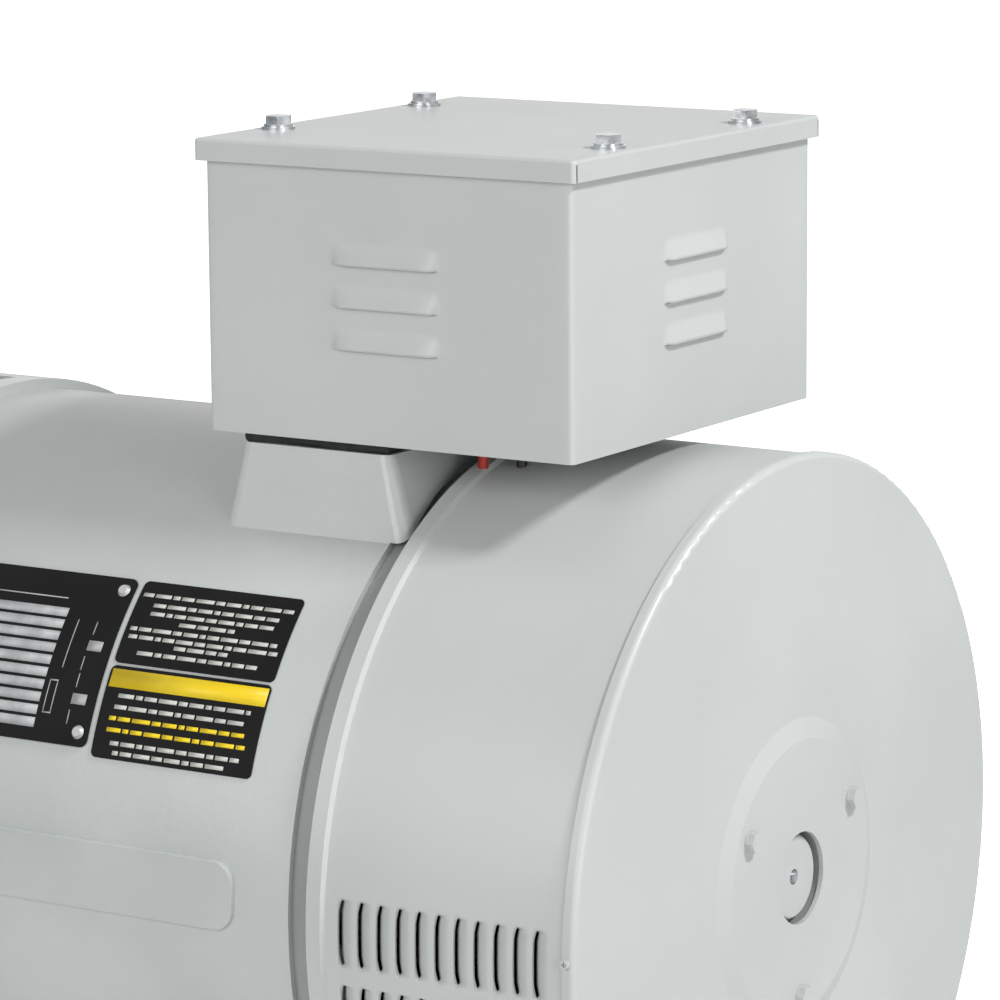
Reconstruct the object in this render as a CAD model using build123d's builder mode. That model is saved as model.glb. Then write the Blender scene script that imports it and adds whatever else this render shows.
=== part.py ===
"""Generator alternator head: a four-pole brushed alternator on feet.

The shaft lies along X at the shaft height, with the drive end at -X and the rear drum at +X.
The origin is the centre of the foot bolt pattern, on the plane the feet stand on. Millimetres.
"""

import os
from math import cos, pi, radians, sin, sqrt

from build123d import *

os.makedirs("parts", exist_ok=True)

# ---------------------------------------------------------------- driving sizes
SHAFT_HEIGHT = 180.0  # shaft centre above the floor, a 180 frame
FIT = 0.3  # clearance between pieces on different bodies
PRESS = 0.02  # hairline left between seated round faces

# cast stator frame
FRAME_LENGTH = 261.0
FRAME_RADIUS = 171.5
FRAME_WALL = 16.5
FOOT_SPAN = 279.0  # bolt spacing across the shaft
FOOT_PITCH = 210.0  # bolt spacing along the shaft
FOOT_BOLT_HOLE = 14.5
FOOT_THICKNESS = 18.0
FOOT_WIDTH = 62.0
FOOT_OVERHANG = 20.0  # casting past each foot hole, along the shaft

# pedestal that carries the terminal box
PEDESTAL_TOP_LENGTH = 72.6
PEDESTAL_HALF_WIDTH = 90.0
PEDESTAL_X = 91.0
PEDESTAL_FOOT = (114.0, 202.0)
PEDESTAL_FOOT_X = 97.0  # the foot flares further towards the bracket
PEDESTAL_WINDOW = (44.0, 110.0)
PANEL_X = 15.0  # middle of the raised panel on each flank

# stator core and winding
CORE_LENGTH = 150.0
CORE_X = -8.0
AIR_GAP = 1.0
ROTOR_RADIUS = 100.0
SLOTS = 36
SLOT_WIDTH = 9.0
SLOT_DEPTH = 24.0
WINDING_REACH = 30.0  # end turns past each face of the core

# rotor
SHAFT_BODY_RADIUS = 30.0
POLE_BODY_WIDTH = 62.0
POLE_SHOE_ANGLE = 62.0
POLE_SHOE_DEPTH = 14.0
COIL_THICKNESS = 20.0
DRIVE_SHAFT_RADIUS = 21.0
DRIVE_SHAFT_LENGTH = 110.0
KEY_WIDTH = 12.0  # the keyway is open: the key comes with the coupling
KEY_LENGTH = 90.0
KEY_SINK = 5.0
REAR_SHAFT_RADIUS = 17.5

# bearings: bore radius, outside radius, width, ball radius, balls
DRIVE_BEARING = (22.5, 50.0, 25.0, 8.5, 8)
REAR_BEARING = (20.0, 45.0, 23.0, 7.4, 8)

# drive end bell
BELL_LENGTH = 96.0
BELL_RADIUS = 176.0
BELL_WALL = 9.0
BELL_WINDOWS = 12
BELL_BOLTS = 4
BELL_BOLT_RING = 163.0

# rear bracket, drum and end cover
BRACKET_FLANGE = 9.0
BRACKET_RADIUS = 168.8
DRUM_GAP = 2.0  # open joint between the bracket flange and the drum
DRUM_RIM_RADIUS = 176.4
DRUM_RIM_WIDTH = 8.0
DRUM_RADIUS = 174.5
DRUM_LENGTH = 118.0
DRUM_SHEET = 1.5
COVER_RADIUS = 175.6
COVER_DEPTH = 6.1
COVER_EDGE_RADIUS = 2.8
COVER_SHEET = 2.0
COVER_PAD_RADIUS = 62.2
COVER_PAD_RISE = 2.7
COVER_PAD_SLOPE = 8.5
COVER_SHAFT_HOLE = 19.4
SHAFT_RECESS = 3.4  # how far the shaft end sits back in the cover hole
COVER_BOLT_RING = 50.0
RIM_SCREWS = 2
RIM_SCREW_REACH = 2.0  # from the seam to the rim screws

# lanced vents in the drum
VENTS_ACROSS = 11
VENT_PITCH = 9.0
VENT_FIRST = 14.6  # from the drum's rim edge to the first vent's open edge
VENT_WIDTH = 6.2
VENT_DEPTH = 3.0
BLADE_SHEET = 1.2
VENT_CHEEK = 0.35  # angle that each closed end takes
VENT_ANGLE = 9.6
VENT_ROW_PITCH = 11.6
VENT_ROWS = 4  # on each side, from the shaft's level down
VENT_TOP_ROW = 0.8  # angle of the highest row above the shaft's level

# terminal box
BOX_X = 131.0
BOX_LENGTH = 175.0
BOX_WIDTH = 194.0
BOX_LIFT = 11.2  # from the top of the frame's barrel up to the box
BOX_HEIGHT = 120.8  # with its lid
BOX_SHEET = 1.5
GASKET = 5.0  # rubber between the pedestal and the box
LID_SKIRT = 9.1
LID_SLIT = 0.9
LID_GAP = 1.9  # air between the lid's skirt and the box wall
LID_BOLT_INSET = (8.0, 41.5)  # from the box's ends and sides
HOOD_LENGTH = 52.7
HOOD_PITCH = 17.2
HOOD_LOWEST = 38.3  # lowest slit above the box floor
HOOD_HEIGHT = 8.6
HOOD_RISE = 3.0

# brush gear
RING_RADIUS = 34.0
RING_WIDTH = 14.0
RING_X = (172.0, 196.0)
BRUSH_LENGTH = 26.0
BRUSH_SIZE = (9.0, 14.0)
BRUSH_LIFT = 8.0
SPRING_LENGTH = 16.0
RIM_SCREW_ANGLE = 1.7

# leads, terminal board and regulator
LEAD_PLACES = [(147.0, -50.0), (160.5, -42.0)]
LEAD_HOLE = 4.0
LEAD_RADIUS = 2.2
POST_HEIGHT = 24.0
BOARD_THICKNESS = 6.0
BOARD_SIZE = (74.0, 158.0)
STUD_PITCH = 36.0
STUD_SPACING = 34.0
REGULATOR_PLACE = (176.0, 0.0)
REGULATOR_SIZE = (60.0, 150.0)

# cable glands on the drive-end wall of the box: (y, z) of each
GLAND_Y = (-18.0, 40.0)
GLAND_HEIGHT = 47.3  # above the box floor
GLAND_THREAD = 16.0
GLAND_BORE = 10.5

# plates on the frame's front side: length along the shaft, and angles above the shaft's level
PLATE_BED = 0.2  # paint and adhesive under each plate
PLATE_X = (-95.5, 24.5)
PLATE_ANGLES = (45.0, 20.0)
PLATE_RIVETS = [(x, theta) for x in (-90.5, 19.5) for theta in (43.0, 22.0)]
LABEL_X = (27.5, 107.0)
UPPER_LABEL_ANGLES = (45.1, 32.4)
LOWER_LABEL_ANGLES = (32.0, 19.0)
EARTH_X = 52.0
EARTH_Y = -146.0
LID_WASHER = 1.2

# ---------------------------------------------------------------- derived places
FRAME_END = FRAME_LENGTH / 2
FRAME_BORE = FRAME_RADIUS - FRAME_WALL
CORE_START = CORE_X - CORE_LENGTH / 2
CORE_END = CORE_X + CORE_LENGTH / 2
STATOR_BORE = ROTOR_RADIUS + AIR_GAP
BELL_FRONT = -FRAME_END - BELL_LENGTH
FLANGE_END = FRAME_END + BRACKET_FLANGE
DRUM_START = FLANGE_END + DRUM_GAP
DRUM_END = DRUM_START + DRUM_LENGTH
COVER_FACE = DRUM_END + COVER_DEPTH
BOX_FLOOR = SHAFT_HEIGHT + FRAME_RADIUS + BOX_LIFT
BOX_TOP = BOX_FLOOR + BOX_HEIGHT
LID_BOLTS_X = [BOX_X + side * (BOX_LENGTH / 2 - LID_BOLT_INSET[0]) for side in (-1, 1)]
LID_BOLTS_Y = [side * (BOX_WIDTH / 2 - LID_BOLT_INSET[1]) for side in (-1, 1)]
GLAND_PLACES = [(y, BOX_FLOOR + GLAND_HEIGHT) for y in GLAND_Y]
LID_UNDERSIDE = BOX_TOP - BOX_SHEET
BOX_RIM = LID_UNDERSIDE - 3.0  # the lid gasket fills what is left
DRIVE_BEARING_X = -FRAME_END - 60.0
REAR_BEARING_X = COVER_FACE - 23.6
HUB_RADIUS = COVER_PAD_RADIUS - COVER_PAD_SLOPE + 1.0
HUB_END = COVER_FACE + COVER_PAD_RISE - COVER_SHEET

SHAFT_AXIS = Axis((0, 0, SHAFT_HEIGHT), (1, 0, 0))
EARTH_PLACE = Location((EARTH_X, EARTH_Y, FOOT_THICKNESS))
BOX_SCREW_X = PEDESTAL_TOP_LENGTH / 2 - 8
BOX_SCREW_Y = PEDESTAL_HALF_WIDTH - 9
BOX_SCREW_PLACES = [
    Location((PEDESTAL_X + i * BOX_SCREW_X, j * BOX_SCREW_Y, BOX_FLOOR - GASKET))
    for i in (-1, 1) for j in (-1, 1)
]
POST_PLACES = [(PEDESTAL_X + i * 30, j * 64) for i in (-1, 1) for j in (-1, 1)]
POST_PLACES += [(REGULATOR_PLACE[0] + i * 22, j * 62) for i in (-1, 1) for j in (-1, 1)]
STUD_PLACES = [(PEDESTAL_X + i * STUD_SPACING / 2, (j - 1.5) * STUD_PITCH)
               for i in (-1, 1) for j in range(4)]
SIDE_PLANE = Plane(origin=(0, 0, SHAFT_HEIGHT), x_dir=(1, 0, 0), z_dir=(0, -1, 0))


def end_plane(x):
    """A plane across the shaft at x, seen from the rear: its own x is +Y and its own y is +Z."""
    return Plane(origin=(x, 0, SHAFT_HEIGHT), x_dir=(0, 1, 0), z_dir=(1, 0, 0))


def flank_plane(x, theta, radius):
    """A plane facing outward on the near side, at an angle in degrees above the shaft's level."""
    turn = radians(theta)
    return Plane(origin=(x, -radius * cos(turn), SHAFT_HEIGHT + radius * sin(turn)),
                 x_dir=(1, 0, 0), z_dir=(0, -cos(turn), sin(turn)))


def turned(points, mode=Mode.ADD, angle=360.0, start=0.0):
    """Turns a closed outline of (x, radius) points about the shaft."""
    with BuildSketch(SIDE_PLANE.rotated((start, 0, 0))) as outline:
        with BuildLine():
            Polyline(*points, close=True)
        make_face()
    revolve(outline.sketch, axis=SHAFT_AXIS, revolution_arc=angle, mode=mode)


def tube(x0, x1, r_in, r_out, mode=Mode.ADD):
    """A plain ring about the shaft between two places along it."""
    turned([(x0, r_in), (x1, r_in), (x1, r_out), (x0, r_out)], mode)


def solid_bar(x0, x1, radius, mode=Mode.ADD):
    """A plain cylinder on the shaft line."""
    with BuildSketch(end_plane(x0)) as section:
        Circle(radius)
    extrude(section.sketch, amount=x1 - x0, mode=mode)


def hex_bolt(place, head_across, head_height, shank_radius, shank_length, flange=0.0):
    """A hexagon bolt whose head sits on the place's plane and whose shank goes down from it."""
    with BuildSketch(place) as washer_face:
        Circle(head_across / 2 * (1 + flange))
    extrude(washer_face.sketch, amount=1.0)
    with BuildSketch(place.offset(1.0)) as head:
        RegularPolygon(head_across / sqrt(3), 6)
    extrude(head.sketch, amount=head_height - 1.0)
    with BuildSketch(place) as shank:
        Circle(shank_radius)
    extrude(shank.sketch, amount=-shank_length)


def write(part, name):
    """Labels a finished piece and writes it to its own file."""
    part.label = name
    export_step(part, f"parts/{name}.step")


# ================================================================ stator frame
with BuildPart() as stator_frame:
    solid_bar(-FRAME_END, FRAME_END, FRAME_RADIUS)
    foot_length = FOOT_PITCH + 2 * FOOT_OVERHANG
    foot_outer = FOOT_SPAN / 2 + FOOT_WIDTH / 2 - 3
    # two foot rails, each with a web up to the barrel
    for side in (-1, 1):
        with BuildSketch(Plane.XY) as rail:
            with Locations((0, side * (foot_outer - FOOT_WIDTH / 2))):
                RectangleRounded(foot_length, FOOT_WIDTH, 8)
        extrude(rail.sketch, amount=FOOT_THICKNESS)
        for end in (-1, 1):
            web_x = end * (FOOT_PITCH / 2 - 34)
            with BuildSketch(Plane.YZ.offset(web_x - 9)) as web:
                with BuildLine():
                    Polyline(
                        (side * (foot_outer - FOOT_WIDTH), 0),
                        (side * (foot_outer - 6), 0),
                        (side * (foot_outer - 6), FOOT_THICKNESS + 4),
                        (side * FRAME_RADIUS * cos(radians(28)),
                         SHAFT_HEIGHT - FRAME_RADIUS * sin(radians(28))),
                        (side * FRAME_RADIUS * 0.5, SHAFT_HEIGHT - FRAME_RADIUS * 0.8),
                        close=True,
                    )
                make_face()
            extrude(web.sketch, amount=18)
        with BuildSketch(Plane.XZ.offset(-side * (foot_outer - FOOT_WIDTH))) as keel:
            with Locations((0, 22)):
                Rectangle(foot_length - 30, 44)
        extrude(keel.sketch, amount=-side * 16)
    # the pedestal: a block that narrows towards the box
    with BuildSketch(Plane.XY.offset(SHAFT_HEIGHT + FRAME_RADIUS * 0.6)) as pedestal_foot:
        with Locations((PEDESTAL_FOOT_X, 0)):
            RectangleRounded(*PEDESTAL_FOOT, 8)
    with BuildSketch(Plane.XY.offset(BOX_FLOOR - GASKET)) as pedestal_head:
        with Locations((PEDESTAL_X, 0)):
            RectangleRounded(PEDESTAL_TOP_LENGTH, 2 * PEDESTAL_HALF_WIDTH, 5)
    loft([pedestal_foot.sketch, pedestal_head.sketch])
    # a raised, bare cast panel on each flank
    for side in (-1, 1):
        with BuildSketch(Plane.XZ.offset(-side * (FRAME_RADIUS - 12))) as panel:
            with Locations((PANEL_X, SHAFT_HEIGHT + 9)):
                RectangleRounded(178, 28, 9)
        extrude(panel.sketch, amount=-side * 13.6)
    # the pedestal's toe reaches out over the bracket's flange, clear of it
    solid_bar(FRAME_END, FRAME_END + 30, FRAME_RADIUS + FIT, Mode.SUBTRACT)
    with BuildSketch(end_plane(FLANGE_END)) as toe_end:
        with Locations((0, 150)):
            Rectangle(300, 200)
    extrude(toe_end.sketch, amount=30, mode=Mode.SUBTRACT)
    solid_bar(-FRAME_END - 1, FRAME_END + 1, FRAME_BORE, Mode.SUBTRACT)
    # the way for the winding leads up into the box
    with BuildSketch(Plane.XY.offset(SHAFT_HEIGHT)) as lead_way:
        with Locations((PEDESTAL_X, 0)):
            RectangleRounded(*PEDESTAL_WINDOW, 8)
    extrude(lead_way.sketch, amount=400, mode=Mode.SUBTRACT)
    # foot bolt holes and the bracket screw holes in both end faces
    with Locations(Plane.XY.offset(FOOT_THICKNESS)):
        with GridLocations(FOOT_PITCH, FOOT_SPAN, 2, 2):
            Hole(FOOT_BOLT_HOLE / 2, depth=FOOT_THICKNESS + 1)
    for x, first in ((-FRAME_END, 45), (FRAME_END - 26, 0)):
        with BuildSketch(end_plane(x)) as tapped:
            with PolarLocations(BELL_BOLT_RING, BELL_BOLTS, start_angle=first):
                Circle(4 + FIT)
        extrude(tapped.sketch, amount=26, mode=Mode.SUBTRACT)
    # the earth screw's hole, and the four for the screws that hold the box
    with Locations(EARTH_PLACE):
        Hole(4 + FIT, depth=14)
    with Locations(*BOX_SCREW_PLACES):
        Hole(3 + FIT, depth=18)
    for x, theta in PLATE_RIVETS:
        with BuildSketch(flank_plane(x, theta, FRAME_RADIUS + 1)) as rivet_hole:
            Circle(1.5 + PRESS)
        extrude(rivet_hole.sketch, amount=-8, mode=Mode.SUBTRACT)
write(stator_frame.part, "stator_frame")


# ================================================================ stator core and winding
with BuildPart() as stator_core:
    with BuildSketch(end_plane(CORE_START)) as lamination:
        Circle(FRAME_BORE)
        Circle(STATOR_BORE, mode=Mode.SUBTRACT)
        with PolarLocations(STATOR_BORE + SLOT_DEPTH / 2 - 1, SLOTS):
            Rectangle(SLOT_DEPTH + 2, SLOT_WIDTH, mode=Mode.SUBTRACT)
    extrude(lamination.sketch, amount=CORE_LENGTH)
write(stator_core.part, "stator_core")

with BuildPart() as stator_winding:
    coil_end_gap = 4.0
    with BuildSketch(end_plane(CORE_START - coil_end_gap - 1)) as slot_bars:
        with PolarLocations(STATOR_BORE + SLOT_DEPTH / 2 + 1.5, SLOTS):
            Rectangle(SLOT_DEPTH - 5, SLOT_WIDTH - 1)
    extrude(slot_bars.sketch, amount=CORE_LENGTH + 2 * coil_end_gap + 2)
    for face, way in ((CORE_START, -1), (CORE_END, 1)):
        near = face + way * coil_end_gap
        far = face + way * WINDING_REACH
        inner = STATOR_BORE + 3
        outer = STATOR_BORE + SLOT_DEPTH + 9
        turned([(near, inner), (far - way * 8, inner), (far, inner + 7), (far, outer - 7),
                (far - way * 8, outer), (near, outer)])
write(stator_winding.part, "stator_winding")

# ================================================================ rotor
drive_bore, drive_outer, drive_width, drive_ball, drive_balls = DRIVE_BEARING
rear_bore, rear_outer, rear_width, rear_ball, rear_balls = REAR_BEARING
drive_seat = DRIVE_BEARING_X - drive_width / 2
drive_shoulder = DRIVE_BEARING_X + drive_width / 2
rear_shoulder = REAR_BEARING_X - rear_width / 2
rear_seat = REAR_BEARING_X + rear_width / 2
SHAFT_SHOULDER = BELL_FRONT - 6.0
SHAFT_START = SHAFT_SHOULDER - DRIVE_SHAFT_LENGTH
SHAFT_END = COVER_FACE + COVER_PAD_RISE - SHAFT_RECESS
RING_SEAT_RADIUS = 23.0
key_middle = SHAFT_START + 6 + KEY_LENGTH / 2

with BuildPart() as rotor_shaft:
    turned([(SHAFT_START, 0), (SHAFT_START, DRIVE_SHAFT_RADIUS - 1.5),
            (SHAFT_START + 1.5, DRIVE_SHAFT_RADIUS), (SHAFT_SHOULDER, DRIVE_SHAFT_RADIUS),
            (SHAFT_SHOULDER, drive_bore), (drive_shoulder, drive_bore),
            (drive_shoulder, SHAFT_BODY_RADIUS), (RING_X[0] - 14, SHAFT_BODY_RADIUS),
            (RING_X[0] - 14, RING_SEAT_RADIUS), (rear_shoulder, RING_SEAT_RADIUS),
            (rear_shoulder, rear_bore), (rear_seat, rear_bore), (rear_seat, REAR_SHAFT_RADIUS),
            (SHAFT_END - 1, REAR_SHAFT_RADIUS), (SHAFT_END, REAR_SHAFT_RADIUS - 1), (SHAFT_END, 0)])
    # centre-drilled ends
    for x, way in ((SHAFT_START, 1), (SHAFT_END, -1)):
        turned([(x, 0), (x, 3.2), (x + way * 3, 2.0), (x + way * 9, 2.0), (x + way * 10, 0)],
               Mode.SUBTRACT)
    with BuildSketch(Plane.XY.offset(SHAFT_HEIGHT + DRIVE_SHAFT_RADIUS - KEY_SINK)) as keyway:
        with Locations((key_middle, 0)):
            SlotOverall(KEY_LENGTH, KEY_WIDTH)
    extrude(keyway.sketch, amount=KEY_SINK + 5, mode=Mode.SUBTRACT)
write(rotor_shaft.part, "rotor_shaft")

POLES = 4
POLE_ROOT = 50.0  # radius of the rotor's hub between the poles
pole_neck_top = ROTOR_RADIUS - POLE_SHOE_DEPTH
with BuildPart() as rotor_core:
    with BuildSketch(end_plane(CORE_START)) as pole_section:
        Circle(POLE_ROOT)
        with PolarLocations(pole_neck_top / 2, POLES, start_angle=45):
            Rectangle(pole_neck_top + 4, POLE_BODY_WIDTH)
        with BuildSketch(mode=Mode.PRIVATE) as shoe_ring:
            Circle(ROTOR_RADIUS)
            Circle(pole_neck_top, mode=Mode.SUBTRACT)
        with BuildSketch(mode=Mode.PRIVATE) as shoe_wedges:
            with PolarLocations(ROTOR_RADIUS / 2 + 20, POLES, start_angle=45):
                Rectangle(ROTOR_RADIUS, 2 * ROTOR_RADIUS * sin(radians(POLE_SHOE_ANGLE / 2)))
        add(shoe_ring.sketch & shoe_wedges.sketch)
        Circle(SHAFT_BODY_RADIUS, mode=Mode.SUBTRACT)
    extrude(pole_section.sketch, amount=CORE_LENGTH)
write(rotor_core.part, "rotor_core")

with BuildPart() as field_coils:
    neck = POLE_BODY_WIDTH / 2 + 0.6
    coil_out = neck + COIL_THICKNESS - 0.4
    wound = [(neck, pole_neck_top - 8.5), (38, pole_neck_top - 11.5), (45, pole_neck_top - 15.5),
             (coil_out, pole_neck_top - 20.5), (coil_out, coil_out + 2.5), (39.5, 42)]
    for k in range(POLES):
        pole = end_plane(CORE_START - COIL_THICKNESS + 2).rotated((45 + 360 / POLES * k, 0, 0))
        with BuildSketch(pole) as coil_section:
            with BuildLine():
                Polyline(*wound, *[(-y, z) for y, z in reversed(wound)], close=True)
            make_face()
        extrude(coil_section.sketch, amount=CORE_LENGTH + 2 * COIL_THICKNESS - 4)
        with BuildSketch(pole.offset(COIL_THICKNESS - 2.5)) as neck_room:
            with Locations((0, 60)):
                Rectangle(2 * neck - 0.2, 60)
        extrude(neck_room.sketch, amount=CORE_LENGTH + 1, mode=Mode.SUBTRACT)
write(field_coils.part, "field_coils")

FAN_X = CORE_START - WINDING_REACH - 34.0
with BuildPart() as cooling_fan:
    tube(FAN_X, FAN_X + 4, SHAFT_BODY_RADIUS, 128)
    tube(FAN_X - 10, FAN_X + 24, SHAFT_BODY_RADIUS, 44)
    with BuildSketch(end_plane(FAN_X + 4)) as blades:
        with PolarLocations(86, 11):
            Rectangle(80, 4, rotation=0)
    extrude(blades.sketch, amount=20)
write(cooling_fan.part, "cooling_fan")

with BuildPart() as slip_ring_hub:
    hub_start = RING_X[0] - 14
    hub_finish = RING_X[1] + 12
    tube(hub_start, hub_finish, RING_SEAT_RADIUS, RING_RADIUS - 5)
    for x in (hub_start, (RING_X[0] + RING_X[1]) / 2 - 2, hub_finish - 4):
        tube(x, x + 4, RING_RADIUS - 6, RING_RADIUS + 2)
write(slip_ring_hub.part, "slip_ring_hub")

with BuildPart() as slip_rings:
    for x in RING_X:
        tube(x - RING_WIDTH / 2, x + RING_WIDTH / 2, RING_RADIUS - 5, RING_RADIUS)
write(slip_rings.part, "slip_rings")


def bearing(name, middle, sizes):
    """A deep-groove ball bearing in three nodes: outer race, inner race, and the caged balls."""
    bore, outside, width, ball, balls = sizes
    pitch = (bore + outside) / 2
    land = 0.45 * ball  # how far each race reaches past the ball's own groove
    for race in ("outer", "inner"):
        with BuildPart() as ring:
            if race == "outer":
                tube(middle - width / 2, middle + width / 2, pitch + land + 1.5, outside)
            else:
                tube(middle - width / 2, middle + width / 2, bore, pitch - land - 1.5)
            with BuildSketch(SIDE_PLANE) as groove:
                with Locations((middle, pitch)):
                    Circle(ball + FIT)
            revolve(groove.sketch, axis=SHAFT_AXIS, mode=Mode.SUBTRACT)
        write(ring.part, f"{name}_bearing_{race}_race")
    with BuildPart() as caged_balls:
        tube(middle - 3, middle + 3, pitch - 1.6, pitch + 1.6)
        for k in range(balls):
            turn = 2 * pi * k / balls
            with Locations((middle, pitch * cos(turn), SHAFT_HEIGHT + pitch * sin(turn))):
                Sphere(ball)
    write(caged_balls.part, f"{name}_bearing_balls")


bearing("drive", DRIVE_BEARING_X, DRIVE_BEARING)
bearing("rear", REAR_BEARING_X, REAR_BEARING)

# ================================================================ drive end bell
BELL_HUB_RADIUS = drive_outer + 14.0
hub_face = SHAFT_SHOULDER + 10.0
bell_nose = BELL_FRONT + 0.0
with BuildPart() as drive_end_bell:
    shoulder_x = BELL_FRONT + 34.0
    turned([(-FRAME_END, BELL_RADIUS - 14), (-FRAME_END, BELL_RADIUS), (shoulder_x, BELL_RADIUS),
            (BELL_FRONT + 10, BELL_RADIUS - 24), (BELL_FRONT, BELL_RADIUS - 44),
            (BELL_FRONT, drive_outer - 12), (drive_seat - 2, drive_outer - 12),
            (drive_seat - 2, drive_outer), (drive_shoulder, drive_outer),
            (drive_shoulder, BELL_HUB_RADIUS), (BELL_FRONT + BELL_WALL + 3, BELL_HUB_RADIUS),
            (BELL_FRONT + BELL_WALL + 3, BELL_RADIUS - 50), (BELL_FRONT + 20, BELL_RADIUS - 34),
            (shoulder_x + 2, BELL_RADIUS - BELL_WALL - 2), (-FRAME_END - 34, BELL_RADIUS - BELL_WALL - 2),
            (-FRAME_END - 34, BELL_RADIUS - 24), (-FRAME_END, BELL_RADIUS - 24)])
    # stiffening ribs on the front face
    with BuildSketch(end_plane(BELL_FRONT - 5)) as ribs:
        with PolarLocations((BELL_HUB_RADIUS + BELL_RADIUS - 40) / 2, 8, start_angle=22.5):
            Rectangle(BELL_RADIUS - 40 - BELL_HUB_RADIUS, 9)
        Circle(BELL_HUB_RADIUS - 2)
        Circle(drive_outer - 12, mode=Mode.SUBTRACT)
    extrude(ribs.sketch, amount=9)
    # air windows round the side, clear of the bolt pads at 45 degrees
    window_x = (shoulder_x + 5, -FRAME_END - 12)
    for k in range(BELL_WINDOWS * 2):
        angle = 360 / (BELL_WINDOWS * 2) * k
        off_pad = abs((angle % 90) - 45)
        if off_pad > 10:
            turned([(window_x[0], 120), (window_x[1], 120), (window_x[1], 190), (window_x[0], 190)],
                   Mode.SUBTRACT, angle=8.4, start=angle - 4.2)
    # pockets for the four bolts that hold the bell to the frame
    with BuildSketch(end_plane(BELL_FRONT - 1)) as pockets:
        with PolarLocations(BELL_BOLT_RING + 8, BELL_BOLTS, start_angle=45):
            RectangleRounded(34, 24, 6)
    extrude(pockets.sketch, amount=BELL_LENGTH - 15, mode=Mode.SUBTRACT)
    with BuildSketch(end_plane(-FRAME_END - 40)) as bell_holes:
        with PolarLocations(BELL_BOLT_RING, BELL_BOLTS, start_angle=45):
            Circle(4 + FIT)
    extrude(bell_holes.sketch, amount=41, mode=Mode.SUBTRACT)
    with BuildSketch(end_plane(BELL_FRONT - 6)) as cap_holes:
        with PolarLocations(drive_outer + 5, 4, start_angle=45):
            Circle(2.5 + FIT)
    extrude(cap_holes.sketch, amount=22, mode=Mode.SUBTRACT)
write(drive_end_bell.part, "drive_end_bell")

with BuildPart() as bell_bolts:
    for k in range(BELL_BOLTS):
        turn = radians(45 + 360 / BELL_BOLTS * k)
        seat = Plane(origin=(-FRAME_END - 16, BELL_BOLT_RING * cos(turn),
                             SHAFT_HEIGHT + BELL_BOLT_RING * sin(turn)),
                     x_dir=(0, 1, 0), z_dir=(-1, 0, 0))
        hex_bolt(seat, 13, 5.5, 4, 38, 0.25)
write(bell_bolts.part, "bell_bolts")

cap_radius = drive_outer + 12.0
cap_back = BELL_FRONT - 5.0
with BuildPart() as drive_bearing_cap:
    turned([(cap_back, drive_bore + 4), (cap_back, cap_radius), (cap_back - 4, cap_radius),
            (cap_back - 6, cap_radius - 2), (cap_back - 6, drive_bore + 4)])
    with BuildSketch(end_plane(cap_back - 7)) as cap_bolt_holes:
        with PolarLocations(drive_outer + 5, 4, start_angle=45):
            Circle(2.5 + FIT)
    extrude(cap_bolt_holes.sketch, amount=8, mode=Mode.SUBTRACT)
write(drive_bearing_cap.part, "drive_bearing_cap")

with BuildPart() as cap_bolts:
    for k in range(4):
        turn = radians(45 + 90 * k)
        ring = drive_outer + 5
        seat = Plane(origin=(cap_back - 6, ring * cos(turn), SHAFT_HEIGHT + ring * sin(turn)),
                     x_dir=(0, 1, 0), z_dir=(-1, 0, 0))
        hex_bolt(seat, 8, 3.5, 2.5, 20, 0.25)
write(cap_bolts.part, "cap_bolts")

with BuildPart() as shaft_seal:
    turned([(cap_back, drive_bore + 0.4), (cap_back, drive_bore + 4), (cap_back - 5, drive_bore + 4),
            (cap_back - 5, drive_bore + 1.4), (cap_back - 2.5, drive_bore + 0.4)])
write(shaft_seal.part, "shaft_seal")

# ================================================================ rear bracket
ARMS = 4
ARM_WIDTH = 24.0
hub_start_x = rear_shoulder - 6.0
spigot_radius = DRUM_RADIUS - DRUM_SHEET
with BuildPart() as rear_bracket:
    tube(FRAME_END, FLANGE_END, 146, BRACKET_RADIUS)
    tube(FLANGE_END, FLANGE_END + 8, 158, spigot_radius)
    tube(hub_start_x, HUB_END, REAR_SHAFT_RADIUS + 2.5, HUB_RADIUS)
    for k in range(ARMS):
        with BuildSketch(SIDE_PLANE.rotated((45 + 360 / ARMS * k, 0, 0))) as arm:
            with BuildLine():
                Polyline((FRAME_END, 148), (FRAME_END, 168), (FLANGE_END + 18, 168),
                         (HUB_END - 10, HUB_RADIUS + 6), (HUB_END - 10, HUB_RADIUS - 8),
                         (hub_start_x, HUB_RADIUS - 8), close=True)
            make_face()
        extrude(arm.sketch, amount=ARM_WIDTH / 2, both=True)
    tube(hub_start_x - 1, rear_seat, 0, rear_outer, Mode.SUBTRACT)
    with BuildSketch(end_plane(HUB_END)) as hub_holes:
        with PolarLocations(COVER_BOLT_RING, 3, start_angle=-90):
            Circle(2.5 + FIT)
    extrude(hub_holes.sketch, amount=-14, mode=Mode.SUBTRACT)
    with BuildSketch(end_plane(FRAME_END - 1)) as flange_holes:
        with PolarLocations(BELL_BOLT_RING, 4, start_angle=0):
            Circle(4 + FIT)
    extrude(flange_holes.sketch, amount=20, mode=Mode.SUBTRACT)
    with BuildSketch(end_plane(hub_start_x)) as holder_holes:
        with Locations((-18, 51), (18, 51)):
            Circle(2 + FIT / 2)
    extrude(holder_holes.sketch, amount=12, mode=Mode.SUBTRACT)
    with Locations(*[Location((x, y, BOX_FLOOR)) for x, y in LEAD_PLACES]):
        Hole(LEAD_HOLE, depth=70)
write(rear_bracket.part, "rear_bracket")

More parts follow.
